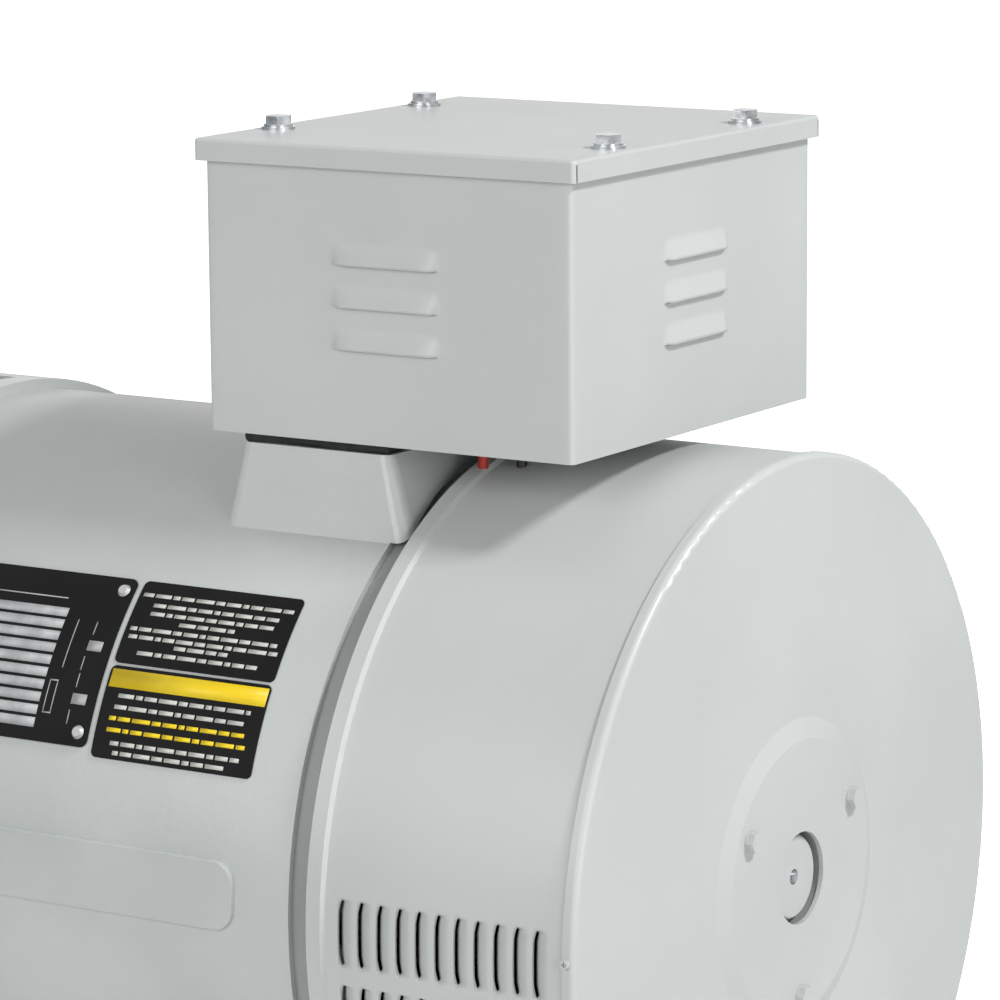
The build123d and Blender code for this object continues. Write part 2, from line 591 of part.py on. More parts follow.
with BuildPart() as bracket_screws:
    for y, z in ((1, 0), (0, 1), (-1, 0), (0, -1)):
        seat = Plane(origin=(FLANGE_END + 8, y * BELL_BOLT_RING, SHAFT_HEIGHT + z * BELL_BOLT_RING),
                     x_dir=(0, z, -y), z_dir=(1, 0, 0))
        hex_bolt(seat, 13, 5.5, 4, 28)
write(bracket_screws.part, "bracket_screws")

# ================================================================ rear drum and its end cover
drum_inner = DRUM_RADIUS - DRUM_SHEET
joggle_inner = COVER_RADIUS - COVER_SHEET - DRUM_SHEET
rim_screw_turns = [RIM_SCREW_ANGLE + 360 / RIM_SCREWS * k for k in range(RIM_SCREWS)]
vent_rows = [side * (90 - VENT_TOP_ROW + VENT_ROW_PITCH * row)
             for side in (1, -1) for row in range(VENT_ROWS)]


def vent_set(profile, start, angle, mode):
    """Turns one row of vents about the shaft, each with the same (x, rise) profile."""
    with BuildSketch(SIDE_PLANE.rotated((start, 0, 0))) as row:
        for k in range(VENTS_ACROSS):
            mouth = DRUM_START + VENT_FIRST + VENT_PITCH * k
            with BuildLine():
                Polyline(*[(mouth + x, DRUM_RADIUS + rise) for x, rise in profile], close=True)
            make_face()
    revolve(row.sketch, axis=SHAFT_AXIS, revolution_arc=angle, mode=mode)


with BuildPart() as rear_drum:
    turned([(DRUM_START, drum_inner), (DRUM_END - 1.5, drum_inner), (DRUM_END - 1.5, joggle_inner),
            (DRUM_END + 3.3, joggle_inner), (DRUM_END + 3.3, joggle_inner + DRUM_SHEET),
            (DRUM_END, joggle_inner + DRUM_SHEET), (DRUM_END, DRUM_RADIUS - 0.7),
            (DRUM_END - 0.7, DRUM_RADIUS),
            (DRUM_START + DRUM_RIM_WIDTH + 1, DRUM_RADIUS), (DRUM_START + DRUM_RIM_WIDTH, DRUM_RIM_RADIUS),
            (DRUM_START + 1, DRUM_RIM_RADIUS), (DRUM_START, DRUM_RIM_RADIUS - 1)])
    # each vent is a blade pressed inward along one edge, with closed ends
    over = [(0, 0.6), (0, -VENT_DEPTH), (VENT_WIDTH, 0), (VENT_WIDTH, 0.6)]
    blade = [(0, -VENT_DEPTH), (VENT_WIDTH, 0), (VENT_WIDTH, -DRUM_SHEET), (0, -VENT_DEPTH - BLADE_SHEET)]
    cheek = [(0, -1), (VENT_WIDTH, -1), (VENT_WIDTH, -DRUM_SHEET), (0, -VENT_DEPTH - BLADE_SHEET)]
    for middle in vent_rows:
        vent_set(over, middle - VENT_ANGLE / 2, VENT_ANGLE, Mode.SUBTRACT)
    for middle in vent_rows:
        vent_set(blade, middle - VENT_ANGLE / 2, VENT_ANGLE, Mode.ADD)
        vent_set(cheek, middle - VENT_ANGLE / 2 - VENT_CHEEK, VENT_CHEEK, Mode.ADD)
        vent_set(cheek, middle + VENT_ANGLE / 2, VENT_CHEEK, Mode.ADD)
    # the holes for the leads down from the box
    with Locations(*[Location((x, y, BOX_FLOOR)) for x, y in LEAD_PLACES]):
        Hole(LEAD_HOLE, depth=60)
    # the rim screws' holes through the joggle
    for turn in rim_screw_turns:
        with Locations(flank_plane(DRUM_END + RIM_SCREW_REACH, turn, COVER_RADIUS)):
            Hole(1 + FIT / 2, depth=8)
write(rear_drum.part, "rear_drum")

with BuildPart() as rear_end_cover:
    cover_inner = COVER_RADIUS - COVER_SHEET
    cover_back = COVER_FACE - COVER_SHEET
    pad_outer = COVER_PAD_RADIUS + COVER_PAD_SLOPE / 2
    pad_inner = COVER_PAD_RADIUS - COVER_PAD_SLOPE / 2
    turned([(DRUM_END + 0.4, cover_inner), (DRUM_END + 0.4, COVER_RADIUS), (COVER_FACE, COVER_RADIUS),
            (COVER_FACE, pad_outer), (COVER_FACE + COVER_PAD_RISE, pad_inner),
            (COVER_FACE + COVER_PAD_RISE, COVER_SHAFT_HOLE), (cover_back + COVER_PAD_RISE, COVER_SHAFT_HOLE),
            (cover_back + COVER_PAD_RISE, pad_inner - 0.4), (cover_back, pad_outer - 0.4),
            (cover_back, cover_inner)])
    rim_edges = rear_end_cover.edges().filter_by(GeomType.CIRCLE)
    fillet(rim_edges.filter_by(lambda e: abs(e.radius - COVER_RADIUS) < 0.01
                               and abs(e.center().X - COVER_FACE) < 0.01), COVER_EDGE_RADIUS)
    rim_edges = rear_end_cover.edges().filter_by(GeomType.CIRCLE)
    fillet(rim_edges.filter_by(lambda e: abs(e.radius - cover_inner) < 0.01
                               and abs(e.center().X - cover_back) < 0.01), 0.7)
    with BuildSketch(end_plane(COVER_FACE + 5)) as cover_holes:
        with PolarLocations(COVER_BOLT_RING, 3, start_angle=-90):
            Circle(2.5 + FIT)
    extrude(cover_holes.sketch, amount=-10, mode=Mode.SUBTRACT)
    for turn in rim_screw_turns:
        with Locations(flank_plane(DRUM_END + RIM_SCREW_REACH, turn, COVER_RADIUS)):
            Hole(1 + FIT, depth=4)
write(rear_end_cover.part, "rear_end_cover")

with BuildPart() as cover_bolts:
    for k in range(3):
        turn = radians(-90 + 120 * k)
        seat = Plane(origin=(COVER_FACE + COVER_PAD_RISE, COVER_BOLT_RING * cos(turn),
                             SHAFT_HEIGHT + COVER_BOLT_RING * sin(turn)),
                     x_dir=(0, 1, 0), z_dir=(1, 0, 0))
        hex_bolt(seat, 8, 3.8, 2.5, 14, 0.15)
write(cover_bolts.part, "cover_bolts")

with BuildPart() as rim_screws:
    for turn in rim_screw_turns:
        seat = flank_plane(DRUM_END + RIM_SCREW_REACH, turn, COVER_RADIUS)
        with BuildSketch(seat) as screw_head:
            Circle(1.9)
        extrude(screw_head.sketch, amount=1.3)
        with BuildSketch(seat.offset(1.35)) as recess:
            Rectangle(2.2, 0.5)
            Rectangle(0.5, 2.2)
        extrude(recess.sketch, amount=-0.8, mode=Mode.SUBTRACT)
        with BuildSketch(seat) as screw_shank:
            Circle(1)
        extrude(screw_shank.sketch, amount=-5)
write(rim_screws.part, "rim_screws")

# ================================================================ brush gear
ring_top = SHAFT_HEIGHT + RING_RADIUS
brush_long, brush_wide = BRUSH_SIZE
brush_foot = ring_top + 0.05
brush_top = brush_foot + BRUSH_LENGTH
pocket_roof = brush_top + SPRING_LENGTH
holder_x = (RING_X[0] - 12, RING_X[1] + 12)
holder_half = 16.0
lug_x = rear_shoulder - 6.0
with BuildPart() as brush_holder:
    with BuildSketch(Plane.XY.offset(ring_top + 4)) as holder_plan:
        with Locations((sum(holder_x) / 2, 0)):
            RectangleRounded(holder_x[1] - holder_x[0], 2 * holder_half, 3)
    extrude(holder_plan.sketch, amount=pocket_roof + 4 - ring_top - 4)
    with BuildSketch(end_plane(holder_x[1] - 2)) as arm_outline:
        with Locations((0, 52)):
            Rectangle(26, 13)
    extrude(arm_outline.sketch, amount=lug_x - holder_x[1] + 2)
    with BuildSketch(end_plane(lug_x)) as lug_outline:
        with Locations((0, 51)):
            RectangleRounded(46, 11, 2)
    extrude(lug_outline.sketch, amount=-5)
    for x in RING_X:
        with BuildSketch(Plane.XY.offset(ring_top)) as pocket:
            with Locations((x, 0)):
                Rectangle(brush_long + 2 * FIT, brush_wide + 2 * FIT)
        extrude(pocket.sketch, amount=pocket_roof - ring_top, mode=Mode.SUBTRACT)
    with BuildSketch(end_plane(lug_x + 1)) as lug_holes:
        with Locations((-18, 51), (18, 51)):
            Circle(2 + FIT)
    extrude(lug_holes.sketch, amount=-8, mode=Mode.SUBTRACT)
write(brush_holder.part, "brush_holder")

with BuildPart() as holder_screws:
    for y in (-18, 18):
        seat = Plane(origin=(lug_x - 5, y, SHAFT_HEIGHT + 51), x_dir=(0, 1, 0), z_dir=(-1, 0, 0))
        hex_bolt(seat, 7, 3.2, 2, 15)
write(holder_screws.part, "holder_screws")

for n, x in enumerate(RING_X, start=1):
    with BuildPart() as brush:
        with BuildSketch(Plane.XY.offset(ring_top - 2)) as brush_plan:
            with Locations((x, 0)):
                Rectangle(brush_long, brush_wide)
        extrude(brush_plan.sketch, amount=brush_top - ring_top + 2)
        tube(x - 20, x + 20, 0, RING_RADIUS + 0.05, Mode.SUBTRACT)
    write(brush.part, f"brush_{n}")
    with BuildPart() as spring:
        wire = 0.45
        with BuildLine(Plane.XY.offset(brush_top + wire + 0.05)) as coil:
            Helix(pitch=(SPRING_LENGTH - 2 * wire - 0.1) / 6,
                  height=SPRING_LENGTH - 2 * wire - 0.1, radius=3.2,
                  center=(x, 0, 0))
        with BuildSketch(Plane(origin=coil.line @ 0, z_dir=coil.line % 0)) as wire_section:
            Circle(wire)
        sweep(wire_section.sketch, path=coil.line)
    write(spring.part, f"brush_spring_{n}")

# ================================================================ terminal box
box_start = BOX_X - BOX_LENGTH / 2
box_end = BOX_X + BOX_LENGTH / 2
inner_floor = BOX_FLOOR + BOX_SHEET


def on_walls(walls):
    """One (outward direction, middle of the wall) pair for each named box wall."""
    middles = {"+x": ((1, 0), (box_end, 0)), "-x": ((-1, 0), (box_start, 0)),
               "+y": ((0, 1), (BOX_X, BOX_WIDTH / 2)), "-y": ((0, -1), (BOX_X, -BOX_WIDTH / 2))}
    return [middles[wall] for wall in walls]


def louvres(profile, length, mode):
    """Three lanced louvres on each of three walls, from one (outward, up) profile."""
    for (ox, oy), (mx, my) in on_walls(("+x", "+y", "-y")):
        wall = Plane(origin=(mx - oy * length / 2, my + ox * length / 2, 0),
                     x_dir=(ox, oy, 0), z_dir=(oy, -ox, 0))
        with BuildSketch(wall) as outline:
            for k in range(3):
                slit = BOX_FLOOR + HOOD_LOWEST + HOOD_PITCH * k
                with BuildLine():
                    Polyline(*[(u, slit + v) for u, v in profile], close=True)
                make_face()
        extrude(outline.sketch, amount=length, mode=mode)


with BuildPart() as terminal_box:
    with BuildSketch(Plane.XY.offset(BOX_FLOOR)) as box_plan:
        with Locations((BOX_X, 0)):
            RectangleRounded(BOX_LENGTH, BOX_WIDTH, 2.5)
    extrude(box_plan.sketch, amount=BOX_RIM - BOX_FLOOR)
    with BuildSketch(Plane.XY.offset(inner_floor)) as room:
        with Locations((BOX_X, 0)):
            RectangleRounded(BOX_LENGTH - 2 * BOX_SHEET, BOX_WIDTH - 2 * BOX_SHEET, 1.2)
    extrude(room.sketch, amount=BOX_RIM - inner_floor - BOX_SHEET, mode=Mode.SUBTRACT)
    # the top is open but for a turned-in edge, which is wider at the four lid bolts
    with BuildSketch(Plane.XY.offset(BOX_RIM - BOX_SHEET - 1)) as mouth:
        with Locations((BOX_X, 0)):
            RectangleRounded(BOX_LENGTH - 20, BOX_WIDTH - 20, 4)
        for x in LID_BOLTS_X:
            for y in LID_BOLTS_Y:
                with Locations((x, y)):
                    RectangleRounded(15, 22, 3, mode=Mode.SUBTRACT)
    extrude(mouth.sketch, amount=10, mode=Mode.SUBTRACT)
    louvres([(-0.5, -0.2), (HOOD_RISE, -0.2), (HOOD_RISE, 1.6), (0.6, HOOD_HEIGHT), (-0.5, HOOD_HEIGHT)],
            HOOD_LENGTH, Mode.ADD)
    louvres([(-3, -1.2), (0.3, -1.2), (0.3, -0.3), (HOOD_RISE - 1.1, -0.3), (HOOD_RISE - 1.1, 1.2),
             (-0.6, HOOD_HEIGHT - 1.8), (-3, HOOD_HEIGHT - 1.8)], HOOD_LENGTH - 3, Mode.SUBTRACT)
    with BuildSketch(Plane.XY.offset(BOX_FLOOR - 1)) as floor_holes:
        with Locations((PEDESTAL_X, 0)):
            RectangleRounded(*PEDESTAL_WINDOW, 8)
            with GridLocations(2 * BOX_SCREW_X, 2 * BOX_SCREW_Y, 2, 2):
                Circle(3 + FIT)
        with Locations(*LEAD_PLACES):
            Circle(LEAD_HOLE)
        with Locations(*POST_PLACES):
            Circle(2 + FIT)
    extrude(floor_holes.sketch, amount=BOX_SHEET + 2, mode=Mode.SUBTRACT)
    with BuildSketch(Plane.XY.offset(BOX_RIM + 1)) as lid_holes:
        for x in LID_BOLTS_X:
            for y in LID_BOLTS_Y:
                with Locations((x, y)):
                    Circle(3 + FIT)
    extrude(lid_holes.sketch, amount=-4, mode=Mode.SUBTRACT)
    with BuildSketch(Plane.YZ.offset(box_start - 1)) as gland_holes:
        with Locations(*GLAND_PLACES):
            Circle(GLAND_THREAD + FIT)
    extrude(gland_holes.sketch, amount=4, mode=Mode.SUBTRACT)
write(terminal_box.part, "terminal_box")

lid_length = BOX_LENGTH + 2 * (LID_GAP + BOX_SHEET)
lid_width = BOX_WIDTH + 2 * (LID_GAP + BOX_SHEET)
with BuildPart() as box_lid:
    with BuildSketch(Plane.XY.offset(BOX_TOP - LID_SKIRT)) as lid_plan:
        with Locations((BOX_X, 0)):
            RectangleRounded(lid_length, lid_width, 2.2)
    extrude(lid_plan.sketch, amount=LID_SKIRT)
    fillet(box_lid.faces().sort_by(Axis.Z)[-1].edges(), 1.4)
    with BuildSketch(Plane.XY.offset(BOX_TOP - LID_SKIRT - 1)) as lid_room:
        with Locations((BOX_X, 0)):
            RectangleRounded(lid_length - 2 * BOX_SHEET, lid_width - 2 * BOX_SHEET, 1.0)
    extrude(lid_room.sketch, amount=LID_SKIRT - BOX_SHEET + 1, mode=Mode.SUBTRACT)
    with BuildSketch(Plane.XY.offset(BOX_TOP + 1)) as lid_bolt_holes:
        for x in LID_BOLTS_X:
            for y in LID_BOLTS_Y:
                with Locations((x, y)):
                    Circle(3 + FIT)
    extrude(lid_bolt_holes.sketch, amount=-4, mode=Mode.SUBTRACT)
    # the folded skirt is open by a slit at each corner
    for i in (-1, 1):
        for j in (-1, 1):
            with BuildSketch(Plane.XY.offset(BOX_TOP - LID_SKIRT - 1)) as corner_slit:
                with Locations((BOX_X + i * lid_length / 2, j * (lid_width / 2 - BOX_SHEET - LID_SLIT / 2))):
                    Rectangle(5, LID_SLIT)
            extrude(corner_slit.sketch, amount=LID_SKIRT - 1, mode=Mode.SUBTRACT)
write(box_lid.part, "box_lid")

with BuildPart() as lid_gasket:
    with BuildSketch(Plane.XY.offset(BOX_RIM)) as seal_plan:
        with Locations((BOX_X, 0)):
            RectangleRounded(BOX_LENGTH - 1, BOX_WIDTH - 1, 2)
            RectangleRounded(BOX_LENGTH - 20, BOX_WIDTH - 20, 4, mode=Mode.SUBTRACT)
        for x in LID_BOLTS_X:
            for y in LID_BOLTS_Y:
                with Locations((x, y)):
                    RectangleRounded(15, 22, 3)
                    Circle(3 + FIT, mode=Mode.SUBTRACT)
    extrude(seal_plan.sketch, amount=LID_UNDERSIDE - BOX_RIM)
write(lid_gasket.part, "lid_gasket")

with BuildPart() as lid_washers:
    for x in LID_BOLTS_X:
        for y in LID_BOLTS_Y:
            with BuildSketch(Plane.XY.offset(BOX_TOP)) as washer:
                with Locations((x, y)):
                    Circle(7)
                    Circle(3 + FIT, mode=Mode.SUBTRACT)
            extrude(washer.sketch, amount=LID_WASHER)
write(lid_washers.part, "lid_washers")

with BuildPart() as lid_bolts:
    for x in LID_BOLTS_X:
        for y in LID_BOLTS_Y:
            seat = Plane(origin=(x, y, BOX_TOP + LID_WASHER), x_dir=(1, 0, 0), z_dir=(0, 0, 1))
            hex_bolt(seat, 10, 4.5, 3, 12, 0.2)
write(lid_bolts.part, "lid_bolts")

with BuildPart() as pedestal_gasket:
    with BuildSketch(Plane.XY.offset(BOX_FLOOR - GASKET)) as gasket_plan:
        with Locations((PEDESTAL_X, 0)):
            RectangleRounded(PEDESTAL_TOP_LENGTH - 2, 2 * PEDESTAL_HALF_WIDTH - 2, 6)
            RectangleRounded(*PEDESTAL_WINDOW, 8, mode=Mode.SUBTRACT)
            with GridLocations(2 * BOX_SCREW_X, 2 * BOX_SCREW_Y, 2, 2):
                Circle(3 + FIT, mode=Mode.SUBTRACT)
    extrude(gasket_plan.sketch, amount=GASKET)
write(pedestal_gasket.part, "pedestal_gasket")

with BuildPart() as box_floor_screws:
    for i in (-1, 1):
        for j in (-1, 1):
            spot = (PEDESTAL_X + i * BOX_SCREW_X, j * BOX_SCREW_Y, inner_floor)
            hex_bolt(Plane(origin=spot, x_dir=(1, 0, 0), z_dir=(0, 0, 1)), 10, 4.5, 3, 20, 0.2)
write(box_floor_screws.part, "box_floor_screws")

# ================================================================ terminal board and regulator
board_floor = inner_floor + POST_HEIGHT
with BuildPart() as posts:
    for x, y in POST_PLACES:
        with BuildSketch(Plane.XY.offset(inner_floor)) as post:
            with Locations((x, y)):
                RegularPolygon(4.6, 6)
        extrude(post.sketch, amount=POST_HEIGHT)
        with BuildSketch(Plane.XY.offset(BOX_FLOOR + 0.2)) as post_stud:
            with Locations((x, y)):
                Circle(2)
        extrude(post_stud.sketch, amount=POST_HEIGHT + 16)
        with BuildSketch(Plane.XY.offset(board_floor + BOARD_THICKNESS)) as post_nut:
            with Locations((x, y)):
                RegularPolygon(4.0, 6)
        extrude(post_nut.sketch, amount=3)
write(posts.part, "board_posts")

with BuildPart() as terminal_board:
    with BuildSketch(Plane.XY.offset(board_floor)) as board:
        with Locations((PEDESTAL_X, 0)):
            RectangleRounded(*BOARD_SIZE, 4)
        with Locations(*STUD_PLACES):
            Circle(4 + FIT, mode=Mode.SUBTRACT)
        with Locations(*POST_PLACES[:4]):
            Circle(2 + FIT, mode=Mode.SUBTRACT)
    extrude(board.sketch, amount=BOARD_THICKNESS)
    # low walls between the studs
    with BuildSketch(Plane.XY.offset(board_floor + BOARD_THICKNESS)) as walls:
        for y in (-STUD_PITCH, 0, STUD_PITCH):
            with Locations((PEDESTAL_X, y)):
                Rectangle(BOARD_SIZE[0] - 8, 3)
    extrude(walls.sketch, amount=7)
write(terminal_board.part, "terminal_board")

stud_seat = board_floor + BOARD_THICKNESS
with BuildPart() as terminal_studs:
    for x, y in STUD_PLACES:
        with BuildSketch(Plane.XY.offset(board_floor - 5)) as stud_head:
            with Locations((x, y)):
                RegularPolygon(7.4, 6)
        extrude(stud_head.sketch, amount=5)
        with BuildSketch(Plane.XY.offset(board_floor)) as stud:
            with Locations((x, y)):
                Circle(4)
        extrude(stud.sketch, amount=BOARD_THICKNESS + 24)
write(terminal_studs.part, "terminal_studs")

with BuildPart() as link_bars:
    for y in [place[1] for place in STUD_PLACES[:4]]:
        with BuildSketch(Plane.XY.offset(stud_seat)) as bar:
            with Locations((PEDESTAL_X, y)):
                SlotOverall(STUD_SPACING + 16, 14)
                with GridLocations(STUD_SPACING, 1, 2, 1):
                    Circle(4 + FIT, mode=Mode.SUBTRACT)
        extrude(bar.sketch, amount=2)
write(link_bars.part, "link_bars")

with BuildPart() as terminal_nuts:
    for x, y in STUD_PLACES:
        with BuildSketch(Plane.XY.offset(stud_seat + 2)) as nut:
            with Locations((x, y)):
                RegularPolygon(7.4, 6)
                Circle(4 + PRESS, mode=Mode.SUBTRACT)
        extrude(nut.sketch, amount=6.5)
write(terminal_nuts.part, "terminal_nuts")

with BuildPart() as regulator_heat_sink:
    with BuildSketch(Plane.XY.offset(board_floor)) as sink_plan:
        with Locations(REGULATOR_PLACE):
            RectangleRounded(*REGULATOR_SIZE, 3)
        with Locations(*POST_PLACES[4:]):
            Circle(2 + FIT, mode=Mode.SUBTRACT)
    extrude(sink_plan.sketch, amount=BOARD_THICKNESS)
write(regulator_heat_sink.part, "regulator_base")

with BuildPart() as regulator_case:
    with BuildSketch(Plane.XY.offset(board_floor + BOARD_THICKNESS)) as case_plan:
        with Locations(REGULATOR_PLACE):
            RectangleRounded(REGULATOR_SIZE[0] - 4, REGULATOR_SIZE[1] - 38, 4)
    extrude(case_plan.sketch, amount=22)
    with BuildSketch(Plane.XY.offset(board_floor + BOARD_THICKNESS + 24)) as potting_well:
        with Locations(REGULATOR_PLACE):
            RectangleRounded(REGULATOR_SIZE[0] - 8, REGULATOR_SIZE[1] - 42, 3)
    extrude(potting_well.sketch, amount=-5, mode=Mode.SUBTRACT)
    with BuildSketch(Plane.XY.offset(board_floor + BOARD_THICKNESS + 17)) as pots:
        with Locations((REGULATOR_PLACE[0], -26), (REGULATOR_PLACE[0], 0), (REGULATOR_PLACE[0], 26)):
            Circle(6)
    extrude(pots.sketch, amount=8)
write(regulator_case.part, "regulator_case")

# ================================================================ cable glands
with BuildPart() as gland_bodies:
    for y, z in GLAND_PLACES:
        wall = Plane(origin=(box_start, y, z), x_dir=(0, 1, 0), z_dir=(-1, 0, 0))
        with BuildSketch(wall) as gland_flats:
            RegularPolygon(GLAND_THREAD + 6.5, 6)
        extrude(gland_flats.sketch, amount=8)
        with BuildSketch(wall.offset(8)) as gland_neck:
            Circle(GLAND_THREAD)
        extrude(gland_neck.sketch, amount=7)
        with BuildSketch(wall) as gland_thread:
            Circle(GLAND_THREAD)
        extrude(gland_thread.sketch, amount=-12)
        with BuildSketch(wall.offset(16)) as gland_bore:
            Circle(GLAND_BORE)
        extrude(gland_bore.sketch, amount=-30, mode=Mode.SUBTRACT)
write(gland_bodies.part, "gland_bodies")

with BuildPart() as gland_caps:
    for y, z in GLAND_PLACES:
        wall = Plane(origin=(box_start - 15, y, z), x_dir=(0, 1, 0), z_dir=(-1, 0, 0))
        with BuildSketch(wall.offset(-5)) as cap_flats:
            RegularPolygon(GLAND_THREAD + 6, 6)
        extrude(cap_flats.sketch, amount=9)
        with BuildSketch(wall.offset(4)) as cap_dome:
            Circle(GLAND_THREAD + 3.5)
        extrude(cap_dome.sketch, amount=7, taper=22)
        with BuildSketch(wall.offset(12)) as cap_bore:
            Circle(GLAND_BORE + 0.6)
        extrude(cap_bore.sketch, amount=-20, mode=Mode.SUBTRACT)
        with BuildSketch(wall.offset(-6)) as cap_thread:
            Circle(GLAND_THREAD + PRESS)
        extrude(cap_thread.sketch, amount=6, mode=Mode.SUBTRACT)
write(gland_caps.part, "gland_caps")

with BuildPart() as gland_nuts:
    for y, z in GLAND_PLACES:
        wall = Plane(origin=(box_start + BOX_SHEET, y, z), x_dir=(0, 1, 0), z_dir=(1, 0, 0))
        with BuildSketch(wall) as locknut:
            RegularPolygon(GLAND_THREAD + 6, 6)
            Circle(GLAND_THREAD + PRESS, mode=Mode.SUBTRACT)
        extrude(locknut.sketch, amount=5)
write(gland_nuts.part, "gland_nuts")

# ================================================================ plates on the frame
def wrapped_plate(name, x0, x1, top_angle, bottom_angle, thickness, corner):
    """A thin plate bent round the frame's side, with rounded corners."""
    with BuildPart() as plate:
        inner = FRAME_RADIUS + PLATE_BED
        turned([(x0, inner), (x1, inner), (x1, inner + thickness), (x0, inner + thickness)],
               angle=top_angle - bottom_angle, start=90 - top_angle)
        corners = plate.edges().filter_by(lambda e: abs(e.length - thickness) < 1e-4)
        fillet(corners, corner)
        if name == "rating_plate":
            for x, theta in PLATE_RIVETS:
                with BuildSketch(flank_plane(x, theta, FRAME_RADIUS - 1)) as rivet_hole:
                    Circle(1.5 + PRESS)
                extrude(rivet_hole.sketch, amount=4, mode=Mode.SUBTRACT)
    write(plate.part, name)


wrapped_plate("rating_plate", *PLATE_X, *PLATE_ANGLES, 0.8, 3.5)
wrapped_plate("upper_label", *LABEL_X, *UPPER_LABEL_ANGLES, 0.3, 2.5)
wrapped_plate("lower_label", *LABEL_X, *LOWER_LABEL_ANGLES, 0.3, 2.5)

with BuildPart() as plate_rivets:
    for x, theta in PLATE_RIVETS:
        radial = flank_plane(x, theta, FRAME_RADIUS)
        with BuildSketch(radial.offset(PLATE_BED + 0.85)) as rivet_head:
            Circle(2.9)
        extrude(rivet_head.sketch, amount=1.3, taper=35)
        with BuildSketch(radial.offset(PLATE_BED + 0.9)) as rivet_shank:
            Circle(1.5)
        extrude(rivet_shank.sketch, amount=-6)
write(plate_rivets.part, "plate_rivets")

with BuildPart() as earth_screw:
    earth_seat = Plane(origin=(EARTH_X, EARTH_Y, FOOT_THICKNESS), x_dir=(1, 0, 0), z_dir=(0, 0, 1))
    with BuildSketch(earth_seat) as earth_washer:
        Circle(8)
    extrude(earth_washer.sketch, amount=1.6)
    hex_bolt(earth_seat.offset(1.6), 13, 5.5, 4, 14)
write(earth_screw.part, "earth_screw")

# ================================================================ field leads from the box to the brushes
for name, (x, y), ring_x in zip(("field_lead_red", "field_lead_black"), LEAD_PLACES, RING_X):
    with BuildPart() as lead:
        with BuildLine() as run:
            Spline((x, y, BOX_FLOOR + 16), (x, y, BOX_FLOOR - 20), (x + 1, y + 5, BOX_FLOOR - 50),
                   (ring_x, y / 2, SHAFT_HEIGHT + 84), (ring_x, -holder_half, pocket_roof - 8),
                   tangents=[(0, 0, -1), (0, 1, 0)])
        with BuildSketch(Plane(origin=run.line @ 0, z_dir=run.line % 0)) as lead_section:
            Circle(LEAD_RADIUS)
        sweep(lead_section.sketch, path=run.line)
    write(lead.part, name)

with BuildPart() as lead_grommets:
    for x, y in LEAD_PLACES:
        with BuildSketch(Plane.XY.offset(BOX_FLOOR - 2)) as collar:
            with Locations((x, y)):
                Circle(LEAD_HOLE + 1.8)
        extrude(collar.sketch, amount=2)
        with BuildSketch(Plane.XY.offset(BOX_FLOOR)) as neck:
            with Locations((x, y)):
                Circle(LEAD_HOLE)
        extrude(neck.sketch, amount=BOX_SHEET)
        with BuildSketch(Plane.XY.offset(inner_floor)) as top_collar:
            with Locations((x, y)):
                Circle(LEAD_HOLE + 1.8)
        extrude(top_collar.sketch, amount=2)
        with BuildSketch(Plane.XY.offset(BOX_FLOOR - 3)) as lead_bore:
            with Locations((x, y)):
                Circle(LEAD_RADIUS + FIT)
        extrude(lead_bore.sketch, amount=8, mode=Mode.SUBTRACT)
write(lead_grommets.part, "lead_grommets")
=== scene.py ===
from math import cos, pi, radians, sin

import bmesh
import bpy
from mathutils import Matrix, Vector


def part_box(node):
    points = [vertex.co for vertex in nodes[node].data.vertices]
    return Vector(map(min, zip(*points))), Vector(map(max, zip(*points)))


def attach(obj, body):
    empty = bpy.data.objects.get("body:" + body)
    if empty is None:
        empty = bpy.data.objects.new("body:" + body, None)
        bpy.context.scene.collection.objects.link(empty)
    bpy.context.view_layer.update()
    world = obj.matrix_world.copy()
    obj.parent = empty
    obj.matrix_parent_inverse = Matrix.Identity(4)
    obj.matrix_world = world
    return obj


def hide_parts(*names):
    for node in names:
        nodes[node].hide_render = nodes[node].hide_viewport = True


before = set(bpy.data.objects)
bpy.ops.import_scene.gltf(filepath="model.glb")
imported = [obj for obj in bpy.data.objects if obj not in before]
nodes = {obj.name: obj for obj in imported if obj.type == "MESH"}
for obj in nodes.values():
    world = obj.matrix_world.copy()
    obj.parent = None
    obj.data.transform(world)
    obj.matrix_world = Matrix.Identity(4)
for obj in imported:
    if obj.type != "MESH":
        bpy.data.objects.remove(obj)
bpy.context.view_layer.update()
scene = bpy.context.scene

SHAFT = 0.180  # height of the shaft line
FRAME_RADIUS = 0.1715
DRUM_RADIUS = 0.1745
MM = 0.001

# ---------------------------------------------------------------- camera
CAMERA_PLACE = (1.1753, -1.6731, 0.6850)

lens = bpy.data.cameras.new("camera")
lens.lens = 171.4
lens.sensor_width = 36.0
lens.clip_end = 100.0
camera = bpy.data.objects.new("camera", lens)
scene.collection.objects.link(camera)
forward = Vector((-0.5236, 0.8329, -0.1792)).normalized()
right = Vector((0.8473, 0.5310, -0.0077))
right = (right - forward * right.dot(forward)).normalized()
up = right.cross(forward)
turned = Matrix((right, up, -forward)).transposed().to_4x4()
camera.matrix_world = Matrix.Translation(CAMERA_PLACE) @ turned
scene.camera = camera
scene.view_settings.view_transform = "Standard"


# ---------------------------------------------------------------- finishes
def srgb(code):
    """The linear colour of an sRGB hex code."""
    parts = [int(code[i:i + 2], 16) / 255 for i in (0, 2, 4)]
    return [p / 12.92 if p <= 0.04045 else ((p + 0.055) / 1.055) ** 2.4 for p in parts] + [1.0]


